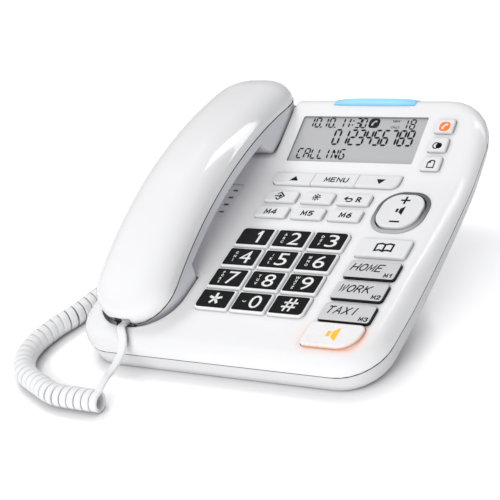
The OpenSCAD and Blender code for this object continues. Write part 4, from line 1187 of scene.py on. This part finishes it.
# %% Letters and figures as pen lines, in a cell one unit wide and one high
pen_shapes = {
    "A": [[(0, 0), (0.5, 1), (1, 0)], [(0.2, 0.36), (0.8, 0.36)]],
    "E": [[(0.9, 1), (0, 1), (0, 0), (0.9, 0)], [(0, 0.52), (0.75, 0.52)]],
    "H": [[(0, 0), (0, 1)], [(1, 0), (1, 1)], [(0, 0.5), (1, 0.5)]],
    "I": [[(0.5, 0), (0.5, 1)]],
    "K": [[(0, 0), (0, 1)], [(0.9, 1), (0, 0.42)], [(0.3, 0.6), (0.95, 0)]],
    "M": [[(0, 0), (0.06, 1), (0.5, 0.22), (0.94, 1), (1, 0)]],
    "N": [[(0, 0), (0, 1), (0.95, 0), (0.95, 1)]],
    "O": [[(u + 0.5, v + 0.5) for u, v in arc(0.5, 80, 430, 14)]],
    "R": [[(0, 0), (0, 1), (0.6, 1), (0.85, 0.78), (0.6, 0.5), (0, 0.48)], [(0.45, 0.48), (0.95, 0)]],
    "T": [[(0, 1), (1, 1)], [(0.5, 1), (0.5, 0)]],
    "U": [[(0, 1), (0, 0.3), (0.2, 0), (0.7, 0), (0.9, 0.3), (0.9, 1)]],
    "W": [[(0, 1), (0.25, 0), (0.5, 0.85), (0.75, 0), (1, 1)]],
    "X": [[(0, 0), (1, 1)], [(0, 1), (1, 0)]],
    "1": [[(0.15, 0.75), (0.55, 1), (0.55, 0)]],
    "2": [[(0.05, 0.8), (0.25, 1), (0.7, 1), (0.9, 0.78), (0.8, 0.5), (0.05, 0), (0.95, 0)]],
    "3": [[(0.05, 0.85), (0.3, 1), (0.7, 1), (0.88, 0.78), (0.65, 0.54), (0.92, 0.28), (0.7, 0), (0.3, 0),
           (0.05, 0.15)]],
    "4": [[(0.75, 0), (0.75, 1), (0, 0.3), (1, 0.3)]],
    "5": [[(0.9, 1), (0.15, 1), (0.1, 0.55), (0.55, 0.62), (0.9, 0.35), (0.6, 0), (0.05, 0.08)]],
    "6": [[(0.75, 1), (0.3, 0.7), (0.08, 0.3), (0.3, 0), (0.7, 0), (0.9, 0.3), (0.7, 0.55), (0.12, 0.5)]]}


def pen_words(name, text, x, y, height, width, pen, body, lean=0.0, **options):
    """Words in pen lines, centred on x and y; width is the pitch of one letter and its gap."""
    lines, letter_w = [], 0.72 * width
    for k, letter in enumerate(text):
        left = (k - len(text) / 2) * width + 0.14 * width
        for line in pen_shapes[letter]:
            lines.append(pen_line(*[(left + u * letter_w + lean * (v - 0.5) * height, (v - 0.5) * height)
                                    for u, v in line]))
    return strokes(name, lines, pen, x, y, body, **options)


print("pen letters", len(pen_shapes))

# %% [markdown]
# Large white figures stand right of the middle of each digit key, and the key's letters are stacked in
# a small column at its left, as on many keypads with large figures. The star, the hash and the one are
# drawn, because they are broader than a text object's.

# %% Figures and letters on the digit keys
pad = [(x, y) for y in (84.2, 68.1, 51.9, 35.8) for x in (-14, 10, 34)]
figures = ["1", "2", "3", "4", "5", "6", "7", "8", "9", "*", "0", "#"]
letters = ["", "ABC", "DEF", "GHI", "JKL", "MNO", "PQRS", "TUV", "WXYZ", "", "", ""]
star_arms = [pen_line((0, 0), (3.7 * math.cos(math.radians(a)), 3.7 * math.sin(math.radians(a))))
             for a in (90, 162, 234, 306, 18)]
hash_bars = [pen_line((-4.2, -1.5), (3.6, -1.5)), pen_line((-3.6, 1.5), (4.2, 1.5)),
             pen_line((-2.4, -4.2), (-0.9, 4.2)), pen_line((0.9, -4.2), (2.4, 4.2))]
one_stem = [(-1.7, 2.4), (0.1, 4.6), (1.5, 4.6), (1.5, -4.6), (-0.1, -4.6), (-0.1, 2.5), (-1.2, 1.2)]
figure_right, sign_right, stack_left = 2.6, 0.4, 4.6
for name, (x, y), figure, stack in zip(digit_keys, pad, figures, letters):
    if figure == "*":
        strokes("figure_star", star_arms, 1.6, x + sign_right, y, name, material=ink_white)
    elif figure == "#":
        strokes("figure_hash", hash_bars, 1.2, x + sign_right, y, name, material=ink_white)
    elif figure == "1":
        patch("figure_1", [one_stem], x + figure_right, y, name, material=ink_white)
    else:
        words("figure_" + figure, figure, x + figure_right, y, 9.2, name, material=ink_white, width=7.2)
    gap = 2.35 if len(stack) == 4 else 2.8
    for k, letter in enumerate(stack):
        row = y + (len(stack) - 1) * gap / 2 - k * gap
        words(f"letter_{name[4:]}_{letter}", letter, x - stack_left, row, 1.85, name, material=ink_white,
              bold=0.03)
strokes("mark_0", [(arc(1.1, 200, 340, 8, squash=0.8), False)], 0.45, 10 - stack_left, 36.2, "key_0",
        material=ink_white)
print("figures", len(figures))

# %% [markdown]
# The function keys carry small dark signs. Simple signs are drawn as pen lines or filled outlines,
# which keeps them sharp at any size.

# %% Signs on the function keys
patch("sign_up", [[(-2.9, -1.7), (2.9, -1.7), (0, 2.1)]], -12.6, 132.2, "key_up")
pen_words("sign_menu", "MENU", 15.4, 132.4, 3.1, 4.1, 0.8, "key_menu")
patch("sign_down", [[(-2.9, 1.8), (0, -2.1), (2.9, 1.8)]], 43.7, 132.3, "key_down")
strokes("sign_log", [pen_line((-2.0, 1.6), (-0.2, 2.9), (2.9, 0), (-0.2, -2.9), (-2.0, -1.6)),
                     pen_line((-3.2, 0), (0.9, 0)), pen_line((0, 1.0), (1.0, 0), (0, -1.0))],
        0.9, -15, 117.4, "key_log")
rays = [pen_line((1.7 * math.cos(a), 1.7 * math.sin(a)), (2.4 * math.cos(a), 2.4 * math.sin(a)))
        for a in (k * math.pi / 4 for k in range(8))]
strokes("sign_brightness", [(arc(0.65, 0, 324, 9), True)] + rays, 0.9, 9.5, 117.6, "key_brightness")
strokes("sign_return", [pen_line((-2.2, 0.6), (1.2, 0.6), *arc(1.1, 90, -90, 8, 1.2, -0.5), (-0.8, -1.6)),
                        pen_line((-1.3, 1.9), (-2.6, 0.6), (-1.3, -0.6))],
        0.9, 30.8, 117.0, "key_recall")
pen_words("sign_r", "R", 37.4, 117.0, 3.4, 3.4, 0.95, "key_recall")
for name, x in (("key_m4", -14.4), ("key_m5", 10.1), ("key_m6", 35.0)):
    pen_words("sign_" + name[4:], name[4:].upper(), x, 104.6, 3.3, 4.3, 0.92, name)

# %% [markdown]
# The volume rocker shows a plus, a loudspeaker and a minus. The loudspeaker sign is used twice: small
# and dark here, and large and lit on the hands-free key. The memory labels are written by hand, so
# their letters lean.

# %% Signs on the right column


def loudspeaker(name, x, y, size, body, material=None):
    box = [(-1.7, -0.8), (-0.8, -0.8), (-0.8, 0.8), (-1.7, 0.8)]
    cone = [(-0.4, -0.8), (1.1, -2.0), (1.1, 2.0), (-0.4, 0.8)]
    patch(name, [resized(box, size), resized(cone, size)], x, y, body, material=material)


strokes("sign_plus", [pen_line((-2.5, 0), (2.5, 0)), pen_line((0, -2.5), (0, 2.5))], 1.2, 66.2, 118.2,
        "volume_rocker")
strokes("sign_minus", [pen_line((-2.7, 0), (2.7, 0))], 1.2, 66.6, 101.6, "volume_rocker")
loudspeaker("sign_volume", 66.6, 110.2, 1.7, "volume_rocker")
page = [(0, -2.6), (-2.3, -1.8), (-5.0, -2.4), (-5.0, 2.4), (-2.3, 3.0), (0, 2.2)]
strokes("sign_book", [(page, True), ([(-u, v) for u, v in page], True)], 1.15, 69.8, 81.7, "key_phonebook")
for name, word, y in (("key_m1", "HOME", 65.9), ("key_m2", "WORK", 50.3), ("key_m3", "TAXI", 34.6)):
    pen_words("label_" + word.lower(), word, 67.2, y + 0.6, 4.7, 4.9, 0.8, name, lean=0.3,
              material=ink_pen, slot="memory_key")
    pen_words("sign_" + name[4:], name[4:].upper(), 81.6, y - 4.2, 2.3, 2.9, 0.7, name, slot="memory_key")
loudspeaker("sign_handsfree", 69.6, 18.8, 2.35, "key_handsfree", lit_yellow)

# %% [markdown]
# Three small keys beside the display have a lit call sign, a contrast sign and a page sign. The call
# sign comes again on the display, in its ink, with two small words beside it.

# %% Signs beside the display and on it
receiver = [(-2.0, -1.9), (-0.8, -2.2), (-0.2, -1.2), (-0.8, -0.7), (0.7, 1.0), (1.3, 0.6), (2.2, 1.4),
            (1.6, 2.3), (0.4, 2.2), (-1.4, 0.4), (-2.2, -1.0)]
patch("sign_call", [rounded(6.6, 6.2, 2.4)], 70.2, 33.4, "key_call_block", face=display_face,
      material=lit_orange)
patch("sign_call_receiver", [resized(receiver, 0.85)], 70.2, 33.4, "key_call_block", face=display_face,
      z=2.05, material=ink_white)
strokes("sign_contrast", [(arc(1.9, 0, 350, 14, -0.9), True)], 0.7, 70.0, 20.6, "key_contrast",
        face=display_face)
patch("sign_contrast_dot", [arc(1.9, 0, 330, 11, 0.8)], 70.0, 20.6, "key_contrast", face=display_face)
sheet = [(-2, -2.3), (2, -2.3), (2, 1.6), (1.2, 2.3), (-0.6, 2.3), (-2, 1.0)]
strokes("sign_page", [(sheet, True), pen_line((-2, 1.0), (-0.6, 1.0), (-0.6, 2.3))], 0.7, 70.0, 8.4,
        "key_page", face=display_face)
patch("lcd_call", [rounded(7.0, 6.6, 2.2)], 22.2, 37.2, "base", face=display_face, z=-1.25,
      material=lcd_black)
patch("lcd_call_sign", [resized(receiver, 0.8)], 22.2, 37.2, "base", face=display_face,
      z=-1.2, material=panel_grey_painted_shade)
for word, x, y in (("NEW", 36.4, 38.7), ("CALLS", 36.6, 34.6)):
    words("lcd_" + word.lower(), word, x, y, 1.5, "base", face=display_face, z=-1.25, material=lcd_black,
          bold=0.01)

# %% [markdown]
# ## Inner and under pieces
# These are seen from below or through small gaps. Their shapes in the frame are right, so they keep
# them, and each gets the material of its kind.

# %% Finishes of the inner pieces
rubber, _, _ = plastic("black_rubber", rgb(52, 53, 56), 0.75, 0.5, 1600, specular=0.3)
mat_rubber, _, _ = plastic("grey_mat_rubber", rgb(150, 152, 158), 0.6, 0.3, 1400)
black_plastic, _, _ = plastic("black_plastic", rgb(34, 34, 36), 0.4, 0.15, 1200)
board_green, board_group, _ = plastic("board_green", rgb(44, 104, 66), 0.35, 0.1, 1500)
board_tree = board_green.node_tree
tracks = add_node(board_tree, "ShaderNodeTexBrick",
                  {"Scale": 160.0, "Mortar Size": 0.03, "Color1": rgb(40, 98, 60),
                   "Color2": rgb(48, 110, 70), "Mortar": rgb(84, 140, 90), "Vector": own_place(board_tree)})
feed(board_group.inputs["Color"], tracks.outputs["Color"])
cell_wrap = graded(plastic("cell_wrap", rgb(60, 92, 150), 0.3, 0.05, 900),
                   on_keys, "Across", -8.0, -7.6, rgb(58, 92, 150), rgb(206, 164, 80))
steel, _, steel_surface = plastic("plated_steel", rgb(190, 192, 196), 0.32, 0.2, 1800)
steel_surface.inputs["Metallic"].default_value = 1.0
inner_finishes = {"rubber_feet": rubber, "key_mat": mat_rubber, "main_board": board_green,
                  "base_speaker": black_plastic, "handset_jack": black_plastic, "line_jack": black_plastic,
                  "battery_cells": cell_wrap, "case_screws": steel, "receiver_capsule": black_plastic,
                  "microphone_capsule": black_plastic, "handset_weight": steel, "handset_screws": steel}
for name, material in inner_finishes.items():
    nodes[name].data.materials.clear()
    nodes[name].data.materials.append(material)
socket_dark, _, _ = plastic("socket_plastic", rgb(72, 73, 78), 0.4, 0.15, 1200)
socket_skin = skin("handset_socket", socket_dark)
print("inner pieces with a finish", len(inner_finishes), "and", socket_skin.name)

# %% [markdown]
# ## Plugs and cord facts
# The plugs are clear modular plugs. The first run of the cord is fixed where it lies, the second is put on
# the base, and the length of each run is printed.

# %% Plugs, and the two runs of the cord
plug_clear = clear_plastic("clear_plug", (0.82, 0.84, 0.86, 1), 0.75, 300.0, 2.0, 0.4)
handset_plug = skin("handset_plug", plug_clear, edge=0.3)
base_plug = skin("base_plug", plug_clear, edge=0.3)

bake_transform(cord_first)
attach(cord_rest, "base")
print("cord runs", round(run_length(first_run), 3), round(run_length(second_run), 3))

# %% [markdown]
# ## Floor and light
# The floor is a plain white sheet. For the camera it glows a little, so the open floor reads as white
# and only the shadow of the telephone is darker. Close to the base both the glow and the colour are
# turned down, which gives the soft contact shadow that makes the base stand on the floor.

# %% White floor
paper_white = (0.92, 0.92, 0.93, 1)
paper_under_base = (0.66, 0.66, 0.67, 1)
floor = bare_object("floor", [(-3, -3, 0), (3, -3, 0), (3, 3, 0), (-3, 3, 0)], faces=[(0, 1, 2, 3)])
paper, paper_tree, paper_surface = new_finish("white_paper_floor")
paper_surface.inputs["Roughness"].default_value = 0.9
seen = add_node(paper_tree, "ShaderNodeLightPath")
open_air = add_node(paper_tree, "ShaderNodeAmbientOcclusion", {"Distance": 16 * MM}, samples=16)
clear_of_base = math_node(paper_tree, "POWER", open_air.outputs["AO"], 1.6)
floor_glow = math_node(paper_tree, "MULTIPLY", clear_of_base, 0.42)
set_glow(paper_surface, (1, 1, 1),
         math_node(paper_tree, "MULTIPLY", seen.outputs["Is Camera Ray"], floor_glow))
feed(paper_surface.inputs["Base Color"], mixed(paper_tree, clear_of_base, paper_under_base, paper_white))
floor.data.materials.append(paper)
print("floor", [round(v, 1) for v in floor.dimensions[:2]], "m")

# %% [markdown]
# The lamps are a large soft panel in front and a small one at the left, both kept out of the gloss, and
# a long narrow strip that shows only in the gloss, as the reflection of a window on the handset. The
# strip is placed by its two ends and turned to face the handset.

# %% Lamps


def lamp(name, place, target, size, power):
    data = bpy.data.lights.new(name, "AREA")
    data.shape = "RECTANGLE"
    data.size, data.size_y = size
    data.energy = power
    made = in_scene(name, data)
    made.location = place
    made.rotation_euler = (Vector(target) - Vector(place)).to_track_quat("-Z", "Y").to_euler()
    return made


front_panel = lamp("soft_panel_front", (0.1, -1.6, 0.8), (0, 0, 0.03), (1.4, 1.0), 17.5)
left_panel = lamp("soft_panel_left", (-0.75, 0.5, 1.1), (0, 0, 0.03), (0.4, 0.4), 7.0)
for panel_lamp in (front_panel, left_panel):
    panel_lamp.visible_glossy = False
strip_from = Vector((-0.04, 0.357, 1.01))
strip_to = Vector((0.73, 0.61, 0.27))
strip_aim = Vector((-0.04, 0.007, 0.074))
strip = lamp("window_strip", (strip_from + strip_to) / 2, strip_aim, (1.1, 0.14), 2.2)
along = (strip_to - strip_from).normalized()
outward = strip.location - strip_aim
outward = (outward - along * outward.dot(along)).normalized()
strip.rotation_euler = Matrix((along, outward.cross(along), outward)).transposed().to_euler()
strip.visible_diffuse = False
print("lamps", [(o.name, round(o.data.energy, 1)) for o in (front_panel, left_panel, strip)])

# %% [markdown]
# The world gives a gentle fill from all round. Where the camera looks past the floor, or through
# something clear, it is plain white instead.

# %% World
fill_light = 0.46
extra_where_seen = 0.56
world = bpy.data.worlds.new("studio")
bpy.context.scene.world = world
world.use_nodes = True
air = world.node_tree
back = air.nodes["Background"]
back.inputs["Color"].default_value = (0.99, 0.99, 1.0, 1)
path_kind = add_node(air, "ShaderNodeLightPath")
seen_bare = math_node(air, "MAXIMUM", path_kind.outputs["Is Camera Ray"],
                      path_kind.outputs["Is Transmission Ray"])
feed(back.inputs["Strength"], math_node(air, "MULTIPLY_ADD", seen_bare, extra_where_seen, fill_light))
bpy.context.scene.view_settings.view_transform = "Standard"
print("fill light", fill_light)
